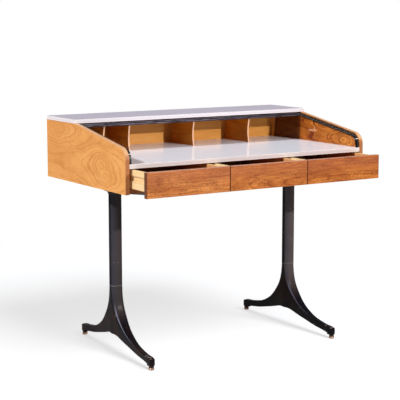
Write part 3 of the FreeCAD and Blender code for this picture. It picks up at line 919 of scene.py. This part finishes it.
@dataclass(frozen=True)
class TrackFinish:
    """Black channel with a painted highlight along its floor, where the curtain slides, and a pale joint at
    the bend.
    """

    name: str
    lighter_tone: Colour
    joint_height: float = 0.7955
    nose_depth: float = 0.030
    colour: Colour = (0.012, 0.011, 0.012)
    joint: Colour = (0.72, 0.68, 0.72)

    def build(self) -> bpy.types.Material:
        """Make the channel, whose floor lies within 2 mm of the panel's inner face.

        Returns:
            The finished material.
        """
        graph = Graph.of_material(self.name)
        x, y, z = graph.place()
        low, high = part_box("right_tambour_track")
        near_wall = abs(x).rise(high.x - 0.0030, high.x - 0.0018)
        # Painted highlight: the channel's floor, near the panel, is painted lighter.
        floor = abs(graph.facing()[0]).rise(0.6, 0.9) * near_wall
        hairs = graph.cloud((200.0, 60.0, 60.0), 2.0, 0.6)
        colour = graph.mix(floor * (hairs * 0.5 + 0.5), self.colour, self.lighter_tone)
        nose = y.rise(low.y + self.nose_depth, low.y + self.nose_depth - 0.010)
        joint = (z + (y - low.y) * 0.25).band(self.joint_height, 0.0010, 0.0012) * nose
        colour = graph.mix(joint * 0.85, colour, self.joint)
        return graph.finish(colour, hairs * 0.15 + 0.28, graph.bump(hairs, 0.00005, 0.2),
                            Specular_IOR_Level=0.30)


@dataclass(frozen=True)
class MetalFinish:
    """Bare or plated metal with soft tarnish, and its darker colour all over above a height."""

    name: str
    colour: Colour
    tarnish: Colour
    metallic: float = 1.0
    roughness: float = 0.32
    darker_above: float = 9.0

    def build(self) -> bpy.types.Material:
        """Make the metal.

        Returns:
            The finished material.
        """
        graph = Graph.of_material(self.name)
        cloud = graph.cloud(90.0, 3.0, 0.6)
        upper = graph.place()[2].rise(self.darker_above, self.darker_above + 0.002)
        share = graph.math("MAXIMUM", cloud.rise(0.35, 0.70), upper)
        return graph.finish(graph.mix(share, self.colour, self.tarnish), cloud * 0.25 + self.roughness,
                            graph.bump(graph.cloud(900.0), 0.00005, 0.3), Metallic=self.metallic)


@dataclass(frozen=True)
class CanvasFinish:
    """Plain woven canvas."""

    name: str
    colour: Colour = (0.30, 0.26, 0.20)
    thread: float = 0.0012

    def build(self) -> bpy.types.Material:
        """Weave two sets of threads: the height is the higher of two waves.

        Returns:
            The finished material.
        """
        graph = Graph.of_material(self.name)
        x, y, z = graph.place()
        weave = graph.math("MAXIMUM", (x / self.thread).wave(), ((y + z) / self.thread).wave())
        colour = graph.mix(weave, tuple(0.5 * c for c in self.colour), self.colour)
        return graph.finish(colour, 0.85, graph.bump(weave, 0.0003, 0.6))


# ------------------------------------------------------------------ meshes
def tube_faces(rows: int, ring: int) -> List[Face]:
    """List the faces of a grid whose rows close round a ring, with a face over each end.

    Args:
        rows: number of rows.
        ring: points in each row.

    Returns:
        The vertex numbers of each face.
    """
    i, j = np.meshgrid(np.arange(rows - 1), np.arange(ring), indexing="ij")
    a = i * ring + j
    b = i * ring + (j + 1) % ring
    quads = np.stack([a, b, b + ring, a + ring], -1).reshape(-1, 4)
    ends = [tuple(range(ring - 1, -1, -1)), tuple(range((rows - 1) * ring, rows * ring))]
    return [tuple(quad) for quad in quads.tolist()] + ends


def mesh_piece(name: str, points: np.ndarray, faces: List[Face], material: bpy.types.Material,
               smooth_angle: float = 35.0) -> bpy.types.Object:
    """Make an object from points and faces, facing outwards, with its place in its mesh.

    Args:
        name: the piece's name.
        points: (n, 3) points in metres.
        faces: vertex numbers of each face.
        material: its finish.
        smooth_angle: edges sharper than this stay crisp, in degrees.

    Returns:
        The linked object.
    """
    mesh = bpy.data.meshes.new(name)
    mesh.from_pydata(points.reshape(-1, 3).tolist(), [], faces)
    mesh.validate()
    mesh.polygons.foreach_set("use_smooth", np.ones(len(mesh.polygons), bool))
    mesh.set_sharp_from_angle(angle=math.radians(smooth_angle))
    mesh.materials.append(material)
    mesh.update()
    made = bpy.data.objects.new(name, mesh)
    bpy.context.scene.collection.objects.link(made)
    return made


# ------------------------------------------------------------------ sub-assemblies
@dataclass
class SubAssembly:
    """Pieces of the desk that are finished together; keeps the names of what it has dressed."""

    dressed: List[str] = field(default_factory=list, init=False)

    def dress(self, material: bpy.types.Material, *nodes: str) -> None:
        """Put a finish in the material slots of some nodes.

        Args:
            material: the finish.
            nodes: names of the nodes.
        """
        for node in nodes:
            shown = frame["nodes"][node]
            shown.data.materials.clear()
            shown.data.materials.append(material)
            self.dressed.append(node)


@dataclass
class CaseWork(SubAssembly):
    """Side panels, slab, writing surface, bottom, back and partitions."""

    eye: Tuple[float, float] = (-0.070, 0.735)
    second_eye: Tuple[float, float] = (-0.098, 0.703)
    scratch: Tuple[float, float] = (0.050, 0.8035)

    def outside_veneer(self) -> Veneer:
        """Choose the golden veneer of the outer faces, with a clear double eye near the front.

        Returns:
            The veneer of both panels' outer faces.
        """
        return Veneer(dark=(0.55, 0.215, 0.045), middle=(0.700, 0.312, 0.082), light=(0.79, 0.395, 0.13),
                      along=Axis.Y, spacing=0.0115, wander=0.036, wander_length=0.12, tremble=0.010,
                      band_share=0.42, streak_share=0.48, line_share=0.28, streak_width=0.0028,
                      streak_length=0.022, fleck_share=0.22, fleck_colour=(0.42, 0.14, 0.025),
                      fleck_length=0.007, seed=3.1,
                      eyes=(Eye(*self.eye, 1.5, 0.070), Eye(*self.second_eye, 1.5, 0.070, 0.003),
                            Eye(0.292, 0.846, 3.5, 0.110, 0.004)))

    def inside_veneer(self) -> Veneer:
        """Choose the red-brown veneer of the inner faces.

        Returns:
            The veneer of both panels' inner faces.
        """
        return Veneer(dark=(0.15, 0.026, 0.004), middle=(0.41, 0.118, 0.014), light=(0.68, 0.275, 0.048),
                      along=Axis.Y, spacing=0.010, wander=0.040, wander_length=0.10, tremble=0.004,
                      band_share=1.00, streak_share=0.75, line_share=0.27, streak_length=0.04,
                      fleck_share=0.35, fleck_colour=(0.070, 0.016, 0.004), seed=11.0,
                      eyes=(Eye(-0.045, 0.838, 2.4, 0.05), Eye(-0.150, 0.778, 2.0, 0.06)))

    def build(self) -> None:
        """Dress the boards of the case."""
        outside, inside = self.outside_veneer(), self.inside_veneer()
        for (word, side), scratch in zip(SIDES, (None, self.scratch)):
            self.dress(PanelFinish(word + "_panel_veneers", side, outside, inside, scratch).build(),
                       word + "_side_panel")
        self.dress(LaminateFinish("writing_laminate", "writing_surface", face=(0.85, 0.885, 1.0),
                                  edge=(0.74, 0.66, 0.66), roughness=0.07, seam_inset=0.0045,
                                  gloss=0.05).build(), "writing_surface")
        # Painted shade: the slab's face is given a darker lilac than the writing surface's, for the same
        # laminate.
        self.dress(LaminateFinish("slab_laminate", "top_slab", face=(0.560, 0.537, 0.675),
                                  edge=(0.72, 0.68, 0.72), roughness=0.26, seam_inset=0.03,
                                  gloss=0.35).build(), "top_slab")
        board = Veneer(dark=(0.13, 0.032, 0.010), middle=(0.27, 0.080, 0.024), light=(0.40, 0.14, 0.045),
                       across=Axis.Y, seed=5.0)
        self.dress(WoodFinish("red_brown_board", board, 0.45).build(),
                   "case_bottom", "left_drawer_partition", "right_drawer_partition")
        back = Veneer(dark=(0.38, 0.17, 0.055), middle=(0.50, 0.25, 0.09), light=(0.60, 0.33, 0.13),
                      spacing=0.02, seed=9.0, fleck_share=0.15,
                      eyes=(Eye(-0.16, 0.75, 6.0, 0.08), Eye(0.30, 0.70, 7.0, 0.09, 0.01)))
        self.dress(WoodFinish("case_back_veneer", back, 0.45).build(), "case_back")


@dataclass
class Pigeonholes(SubAssembly):
    """Back board, thin top board and the four dividers."""

    dividers: int = 4
    first_seed: float = 7.0
    seed_step: float = 2.3

    def divider_veneer(self, number: int) -> Veneer:
        """Choose the orange-brown veneer of one divider, each from another leaf.

        Args:
            number: the divider's number from the left, from 1.

        Returns:
            The divider's veneer.
        """
        return Veneer(dark=(0.34, 0.090, 0.005), middle=(0.52, 0.165, 0.012), light=(0.64, 0.25, 0.03),
                      along=Axis.Y, spacing=0.016, cloud_share=0.6, streak_share=0.35, line_share=0.10,
                      fleck_share=0.15, fleck_colour=(0.22, 0.055, 0.008),
                      seed=self.first_seed + self.seed_step * number)

    def build(self) -> None:
        """Dress the boards of the pigeonholes."""
        board = Veneer(dark=(0.44, 0.170, 0.027), middle=(0.555, 0.248, 0.052), light=(0.645, 0.325, 0.085),
                       spacing=0.018, cloud_share=0.4, band_share=0.4, streak_share=0.35, line_share=0.08,
                       fleck_share=0.12, fleck_colour=(0.32, 0.11, 0.022), seed=self.first_seed)
        self.dress(WoodFinish("pigeonhole_board", board, 0.40).build(), "pigeonhole_back", "pigeonhole_top")
        for number in range(1, self.dividers + 1):
            self.dress(DividerFinish("divider_wood_%d" % number, self.divider_veneer(number)).build(),
                       "pigeonhole_divider_%d" % number)


@dataclass
class DrawerUnit(SubAssembly):
    """One drawer with its runners and its stop."""

    name: str
    seed: float
    wood: Colour
    figure: float = 1.0
    eyes: Tuple[Eye, ...] = ()
    knots: Tuple[Knot, ...] = ()

    def front_veneer(self) -> Veneer:
        """Choose the red-brown veneer of the front, with its own colour and figure.

        Returns:
            The front's veneer.
        """
        red, green, blue = self.wood
        return Veneer(dark=(red * 0.56, green * 0.40, blue * 0.30), middle=self.wood,
                      light=(red * 1.40, green * 1.70, blue * 2.1), wander=0.009, wander_length=0.16,
                      tremble=0.0030, cloud_share=0.60 * self.figure, band_share=0.55 * self.figure,
                      streak_share=1.35, streak_width=0.0015, streak_length=0.050, fleck_share=0.90,
                      fleck_colour=(0.090, 0.016, 0.004), fleck_width=0.0012, fleck_length=0.014,
                      seed=self.seed, eyes=self.eyes)

    def build(self, sides: Sequence[bpy.types.Material], board: bpy.types.Material,
              hardwood: bpy.types.Material) -> None:
        """Dress the drawer.

        Args:
            sides: finishes of the left and the right side; the back has the left one's.
            board: finish of the bottom.
            hardwood: finish of the runners and the stop.
        """
        front = self.name + "_front"
        self.dress(FrontFinish(front + "_veneer", front, self.front_veneer(), self.knots).build(), front)
        self.dress(sides[0], self.name + "_left_side", self.name + "_back")
        self.dress(sides[1], self.name + "_right_side")
        self.dress(board, self.name + "_bottom")
        self.dress(hardwood, *(self.name + end for end in ("_left_runner", "_right_runner", "_stop")))


@dataclass
class Pedestal(SubAssembly):
    """Bracket, tube, tie rod, casting and glides of one side, with a painted sheen on their fronts."""

    side: str
    lighter_tone: Colour
    browner_tone: Colour
    neck_from: float = 0.10
    ridge_from: float = 0.050
    ridge_below_seam: float = 0.055
    toe_top: float = 0.050

    def build(self, steel: bpy.types.Material, copper: bpy.types.Material) -> None:
        """Dress the pedestal.

        Args:
            steel: finish of the screws and the rod.
            copper: finish of the glides.
        """
        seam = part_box(self.side + "_column_tube")[0].z
        # The tube and the casting get a painted sheen on their fronts; the casting also gets a painted
        # highlight along its ridge.
        tube = EnamelFinish(self.side + "_tube_enamel", (0.008, 0.007, 0.010), (0.022, 0.016, 0.015),
                            roughness=0.36, gloss=0.03, seams=(seam,),
                            painted_sheen=PaintedSheen((0.0, self.neck_from), self.lighter_tone, self.browner_tone))
        casting = EnamelFinish(self.side + "_casting_enamel", (0.0045, 0.0040, 0.0065), (0.022, 0.010, 0.007),
                               worn_share=0.7, roughness=0.24, gloss=0.07, chipped_below=self.toe_top,
                               painted_sheen=PaintedSheen((self.neck_from, seam), self.lighter_tone, self.browner_tone),
                               ridge=(self.ridge_from, seam - self.ridge_below_seam))
        self.dress(tube.build(), self.side + "_column_tube")
        self.dress(EnamelFinish(self.side + "_bracket_enamel").build(), self.side + "_column_bracket")
        self.dress(casting.build(), self.side + "_base_casting")
        self.dress(steel, self.side + "_bracket_screws", self.side + "_tie_rod")
        self.dress(copper, self.side + "_front_glide", self.side + "_back_glide")


@dataclass
class TambourCurtain(SubAssembly):
    """Tracks, pull bar and shoes, and the roll curtain between the case and its pull bar.

    When the curtain is open its run is folded flat in the gap behind the bar, laid out so that it would
    draw out along the slope as the bar goes down; only this open shape is built.  The gap's front is given
    along Y and Z, and the canvas's faces by their heights over the slats' backs.
    """

    gap_front: Tuple[float, float] = (0.1513, 0.8688)
    gap: float = 0.0030
    pitch: float = 0.013
    slat_width: float = 0.0118
    thickness: float = 0.0058
    run_end_gap: float = 0.002
    slat_end_gap: float = 0.0019
    slat_corners: int = 11
    slat_powers: Tuple[float, float] = (0.7, 0.8)
    slat_smooth_angle: float = 50.0
    cloth_end_gap: float = 0.003
    cloth_faces: Tuple[float, float] = (-0.0008, -0.0001)
    cloth_rows: int = 60
    fold_steps: int = 4001
    way: np.ndarray = field(init=False)
    travel: float = field(init=False)

    def __post_init__(self) -> None:
        """Take the way and the length of the bar's travel from its joint."""
        joint = JOINTS["tambour_slide"]
        self.way = -np.array(joint["axis"])
        self.travel = joint["range_m"][1]

    def folded(self, drawn: np.ndarray) -> np.ndarray:
        """Fold a point of the run into the gap.

        Share u of the run moves u times the travel when its place t in the gap, from the case
        to the bar, has smoothstep(t) = u; so a point's drawn distance is t gap + u travel.

        Args:
            drawn: distances from the case when the curtain is drawn out.

        Returns:
            Distances from the case in the gap.
        """
        place = np.linspace(0.0, 1.0, self.fold_steps)
        moved = place * place * (3.0 - 2.0 * place)
        return np.interp(drawn, place * self.gap + moved * self.travel, place) * self.gap

    def to_points(self, across: np.ndarray, drawn: np.ndarray, out: np.ndarray) -> np.ndarray:
        """Lay points of the run in the gap, each behind its front by the gap less its folded place.

        Args:
            across: places across the desk.
            drawn: drawn distances from the case.
            out: heights over the run's centre line.

        Returns:
            Points in metres, along a last axis of three.
        """
        over = np.array([0.0, -self.way[2], self.way[1]])
        back = self.gap - self.folded(drawn)
        points = np.array([0.0, *self.gap_front]) + back[..., None] * self.way + out[..., None] * over
        points[..., 0] += across
        return points

    def slats(self) -> Tuple[np.ndarray, List[Face]]:
        """Make all slats: each is a half-round bar with a flat back, as long as the tracks allow.

        The profile is a half oval; powers under 1 on its cosine and its sine square it up.

        Returns:
            Points and faces.
        """
        length = self.gap + self.travel
        count = int((length - 2.0 * self.run_end_gap) / self.pitch)
        turn = np.linspace(0.0, math.pi, self.slat_corners)
        half, thick = self.slat_width / 2.0, self.thickness
        wide, high = self.slat_powers
        profile = np.stack([half * np.sign(np.cos(turn)) * np.abs(np.cos(turn)) ** wide,
                            thick * np.sin(turn) ** high - thick / 2.0], -1)
        middles = length - self.run_end_gap - self.pitch * (np.arange(count) + 0.5)
        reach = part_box("right_tambour_track")[1].x - self.slat_end_gap
        across = np.broadcast_to(np.array([-reach, reach])[None, :, None], (count, 2, len(profile)))
        drawn = np.broadcast_to(middles[:, None, None] + profile[None, None, :, 0], across.shape)
        out = np.broadcast_to(profile[None, None, :, 1], across.shape)
        step = 2 * len(profile)
        faces = [tuple(corner + number * step for corner in face)
                 for number in range(count) for face in tube_faces(2, len(profile))]
        return self.to_points(across, drawn, out).reshape(-1, 3), faces

    def cloth(self) -> Tuple[np.ndarray, List[Face]]:
        """Make the canvas under the slats: a thin closed strip as long as the run.

        Returns:
            Points and faces.
        """
        low, high = (face - self.thickness / 2.0 for face in self.cloth_faces)
        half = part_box("right_tambour_track")[0].x - self.cloth_end_gap
        ring = np.array([[-half, low], [half, low], [half, high], [-half, high]])
        shape = (self.cloth_rows, len(ring))
        drawn = np.linspace(0.0, self.gap + self.travel, self.cloth_rows)
        points = self.to_points(np.broadcast_to(ring[None, :, 0], shape),
                                np.broadcast_to(drawn[:, None], shape),
                                np.broadcast_to(ring[None, :, 1], shape))
        return points, tube_faces(*shape)

    def build(self) -> None:
        """Dress the tracks and the bar, and build slats and canvas folded in the gap behind the bar."""
        slat_veneer = Veneer(dark=(0.16, 0.045, 0.014), middle=(0.30, 0.10, 0.032), light=(0.44, 0.17, 0.06),
                             across=Axis.Y, spacing=0.006, seed=4.0)
        slat_finish = WoodFinish("curtain_slats", slat_veneer, 0.36).build()
        cloth_finish = CanvasFinish("curtain_canvas").build()
        self.dress(slat_finish, "tambour_slats")
        self.dress(cloth_finish, "tambour_cloth")
        # Each track's colour for the painted highlight on its floor; the right one is pale.
        for (word, _), lighter_tone in zip(SIDES, ((0.020, 0.018, 0.020), (0.32, 0.28, 0.27))):
            self.dress(TrackFinish(word + "_black_track", lighter_tone).build(), word + "_tambour_track")
        self.dress(LacquerFinish("black_pull_bar", (0.011, 0.007, 0.012), (0.26, 0.22, 0.27), 0.55).build(),
                   "tambour_pull_bar")
        self.dress(MetalFinish("sliding_shoe", (0.52, 0.50, 0.49), (0.36, 0.34, 0.33), metallic=0.0,
                               roughness=0.5).build(), "left_bar_shoe", "right_bar_shoe")
        for name, (points, faces), finish, slot in (
                ("curtain_slats_drawn", self.slats(), slat_finish, SLOTS["tambour_slats"]),
                ("curtain_cloth_drawn", self.cloth(), cloth_finish, SLOTS["tambour_cloth"])):
            piece = mesh_piece(name, points, faces, finish, self.slat_smooth_angle)
            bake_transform(piece)
            self.dressed.append(name)


# ------------------------------------------------------------------ stage
class Throw(Enum):
    """How a lamp throws its light, with the type of lamp that does it."""

    FAR = "SUN"
    NEAR = "POINT"


@dataclass(frozen=True)
class Lamp:
    """A lamp that lights only some things.

    A far lamp stands in a direction and looks size degrees wide.  A near one stands at a place,
    has size as its radius, and its light is as bright near it as far from it.  Level is how
    bright a white board that faces it renders.
    """

    name: str
    throw: Throw
    where: Point
    level: float
    size: float
    colour: Colour = WHITE

    def hang(self, receivers: Sequence[bpy.types.Object], blockers: Sequence[bpy.types.Object] = ()) -> None:
        """Add the lamp.

        Args:
            receivers: the only things that it lights.
            blockers: the only things that shade it, or none for all.
        """
        data = bpy.data.lights.new(self.name, self.throw.value)
        data.color = self.colour
        made = bpy.data.objects.new(self.name, data)
        bpy.context.scene.collection.objects.link(made)
        if self.throw is Throw.FAR:
            data.energy = self.level * math.pi
            data.angle = math.radians(self.size)
            made.rotation_mode = "QUATERNION"
            made.rotation_quaternion = Vector(self.where).normalized().to_track_quat("Z", "Y")
        else:
            data.energy = self.level * 4.0 * math.pi ** 2
            data.shadow_soft_size = self.size
            made.location = self.where
            graph = Graph(data)
            falloff = graph.node("ShaderNodeLightFalloff", None, {"Strength": 1.0})
            graph.close(graph.node("ShaderNodeEmission", None, {"Strength": falloff.outputs["Constant"]}))
        for side, things in (("receiver", receivers), ("blocker", blockers)):
            if things:
                group = bpy.data.collections.new("%s_%ss" % (self.name, side))
                for shown in things:
                    group.objects.link(shown)
                setattr(made.light_linking, side + "_collection", group)


@dataclass
class Studio:
    """Pale floor, white surroundings, lamps and the camera."""

    floor_half: float = 14.0
    floor_colour: Colour = (0.80, 0.80, 0.80)
    shade_middle: Tuple[float, float] = (0.05, 0.45)
    shade_reach: float = 1.9
    shade_colour: Colour = (0.440, 0.456, 0.482)
    shade_lift: float = 0.625
    surround: float = 0.15
    surround_colour: Colour = (1.0, 0.91, 0.80)
    gloss_share: float = 0.12
    standing_lamp: Point = (0.60, -2.75, 1.69)
    glow_height: float = 0.80
    lamp_radius: float = 0.035
    camera_place: Point = (-2.6435, -4.031, 1.284)
    camera_dip: float = 0.149
    camera_turn: float = 0.569
    camera_lens: float = 112.46
    camera_film: float = 36.0
    camera_sight: float = 200.0
    floor: Optional[bpy.types.Object] = field(default=None, init=False)

    def lay_floor(self) -> None:
        """Lay a pale floor that keeps the desk's soft shadow and fades to white.

        It fades where the squares of the distances from its middle, over its reach, add up to 1.
        """
        graph = Graph.of_material("pale_floor")
        x, y, _ = graph.place()
        (middle_x, middle_y), reach = self.shade_middle, self.shade_reach
        far = ((x - middle_x) / reach) ** 2.0 + ((y - middle_y) / reach) ** 2.0
        plain = graph.node("ShaderNodeBsdfDiffuse", None, {"Color": self.floor_colour})
        shade = graph.node("ShaderNodeBsdfDiffuse", None, {"Color": self.shade_colour})
        white = graph.node("ShaderNodeEmission", None, {"Color": WHITE, "Strength": 1.0})
        lift = graph.node("ShaderNodeEmission", None, {"Color": WHITE, "Strength": self.shade_lift})
        near = graph.node("ShaderNodeAddShader", None, {0: shade.outputs[0], 1: lift.outputs[0]})
        shown = graph.blend(far.rise(0.55, 1.0), near, white)
        material = graph.close(graph.blend(graph.seen(), plain, shown))
        half = self.floor_half
        points = np.array([[-half, -half, 0.0], [half, -half, 0.0], [half, half, 0.0], [-half, half, 0.0]])
        self.floor = mesh_piece("floor", points, [(0, 1, 2, 3)], material)
        self.floor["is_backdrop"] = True

    def surroundings(self) -> None:
        """Make the surroundings white to the camera and partly so in gloss, else an even soft light."""
        world = bpy.data.worlds.new("studio")
        bpy.context.scene.world = world
        graph = Graph(world)
        even = graph.node("ShaderNodeBackground", None,
                          {"Color": self.surround_colour, "Strength": self.surround})
        white = graph.node("ShaderNodeBackground", None, {"Color": WHITE, "Strength": 1.0})
        share = graph.math("MAXIMUM", graph.seen(), graph.ray("Glossy") * self.gloss_share)
        graph.close(graph.blend(share, even, white))

    def lamps(self) -> None:
        """Hang the desk's lamps left, in front and above, one for the pigeonholes and two for the floor."""
        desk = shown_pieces()
        nodes = frame["nodes"]
        holes = [nodes[name] for name in nodes if name.startswith("pigeonhole_")]
        feet = [nodes[name] for name in nodes if name.endswith(("_base_casting", "_glide"))]
        x, y, _ = self.standing_lamp
        Lamp("left_lamp", Throw.FAR, (-0.78, -0.03, 0.60), 1.02, 1.4, (1.0, 0.985, 0.96)).hang(desk)
        Lamp("standing_lamp", Throw.NEAR, self.standing_lamp, 0.72, self.lamp_radius,
             (1.0, 0.98, 0.95)).hang(desk)
        Lamp("surface_glow", Throw.NEAR, (x, y, self.glow_height), 0.16, self.lamp_radius,
             (1.0, 0.97, 0.90)).hang(holes)
        Lamp("top_lamp", Throw.FAR, (-0.05, -0.66, 0.75), 0.25, 34.0).hang(desk)
        Lamp("floor_lamp", Throw.FAR, (0.13, -0.70, 0.69), 0.80, 30.0).hang((self.floor,))
        Lamp("floor_top_lamp", Throw.FAR, (0.02, 0.25, 0.97), 0.20, 20.0).hang((self.floor,), feet)

    def camera(self) -> None:
        """Stand the camera in front and to the left, looking a little down."""
        data = bpy.data.cameras.new("camera")
        data.lens = self.camera_lens
        data.sensor_width = self.camera_film
        data.clip_end = self.camera_sight
        made = bpy.data.objects.new("camera", data)
        bpy.context.scene.collection.objects.link(made)
        made.location = self.camera_place
        made.rotation_euler = (math.pi / 2.0 - self.camera_dip, 0.0, -self.camera_turn)
        bpy.context.scene.camera = made

    def build(self) -> None:
        """Build the whole stage."""
        self.lay_floor()
        self.surroundings()
        self.lamps()
        self.camera()
        bpy.context.scene.view_settings.view_transform = "Standard"


def drawer_units() -> List[DrawerUnit]:
    """List the three drawers, each with the colour, figure, eyes and knots of its front.

    Returns:
        The drawers from left to right.
    """
    return [DrawerUnit("left_drawer", 21.0, (0.540, 0.178, 0.040)),
            DrawerUnit("middle_drawer", 34.0, (0.490, 0.149, 0.027), 1.1,
                       (Eye(0.150, 0.668, 6.0, 0.09), Eye(-0.10, 0.760, 8.0, 0.12, 0.010)),
                       (Knot(0.133, 0.679, 0.0085), Knot(0.148, 0.664, 0.0055))),
            DrawerUnit("right_drawer", 47.0, (0.440, 0.122, 0.018), 1.9,
                       (Eye(0.30, 0.640, 7.0, 0.10), Eye(0.50, 0.765, 8.0, 0.12, 0.008)))]


def dress_drawers() -> List[SubAssembly]:
    """Dress the drawers, whose sides have painted shade in brown on their inner faces.

    Returns:
        The dressed drawers.
    """
    maple = Veneer(dark=(0.68, 0.44, 0.20), middle=(0.82, 0.585, 0.315), light=(0.90, 0.69, 0.42),
                   along=Axis.Y, cloud_share=0.3, band_share=0.4, streak_share=0.4, line_share=0.12,
                   fleck_share=0.10, fleck_colour=(0.50, 0.28, 0.12), seed=2.0)
    brown = Veneer(dark=(0.30, 0.10, 0.035), middle=(0.42, 0.15, 0.055), light=(0.52, 0.21, 0.09),
                   along=Axis.Y, across=Axis.X, fleck_share=0.1, seed=8.0)
    # The inner faces of the sides get painted shade.
    sides = [WoodFinish("drawer_maple_" + word, maple, 0.42, painted_shade_way=-side).build() for word, side in SIDES]
    board = WoodFinish("drawer_board", brown, 0.60).build()
    hardwood = WoodFinish("runner_hardwood", brown, 0.50).build()
    units = drawer_units()
    for unit in units:
        unit.build(sides, board, hardwood)
    return units


def dress_pedestals() -> List[SubAssembly]:
    """Dress both pedestals; the right one's painted sheen is lighter.

    Returns:
        The dressed pedestals.
    """
    steel = MetalFinish("plated_steel", (0.56, 0.55, 0.54), (0.34, 0.32, 0.30)).build()
    copper = MetalFinish("coppery_glide", (0.78, 0.52, 0.38), (0.075, 0.036, 0.026), metallic=0.9,
                         roughness=0.30, darker_above=0.0065).build()
    # Each pedestal's colours for its painted sheen: lighter on the front, browner to the right.
    pedestals = [Pedestal("left", (0.047, 0.046, 0.058), (0.060, 0.049, 0.049)),
                 Pedestal("right", (0.088, 0.081, 0.094), (0.106, 0.082, 0.082))]
    for pedestal in pedestals:
        pedestal.build(steel, copper)
    return pedestals


def main() -> None:
    """Dress the frame, build the curtain and set the stage."""
    logging.basicConfig(level=logging.INFO)
    groups: List[SubAssembly] = [CaseWork(), Pigeonholes(), TambourCurtain()]
    for group in groups:
        group.build()
    groups += dress_drawers() + dress_pedestals()
    for group in groups:
        LOG.info("%s: %s", type(group).__name__, ", ".join(group.dressed))
    left_over = set(frame["nodes"]) - {name for group in groups for name in group.dressed}
    assert not left_over, left_over
    Studio().build()


if __name__ == "__main__":
    main()
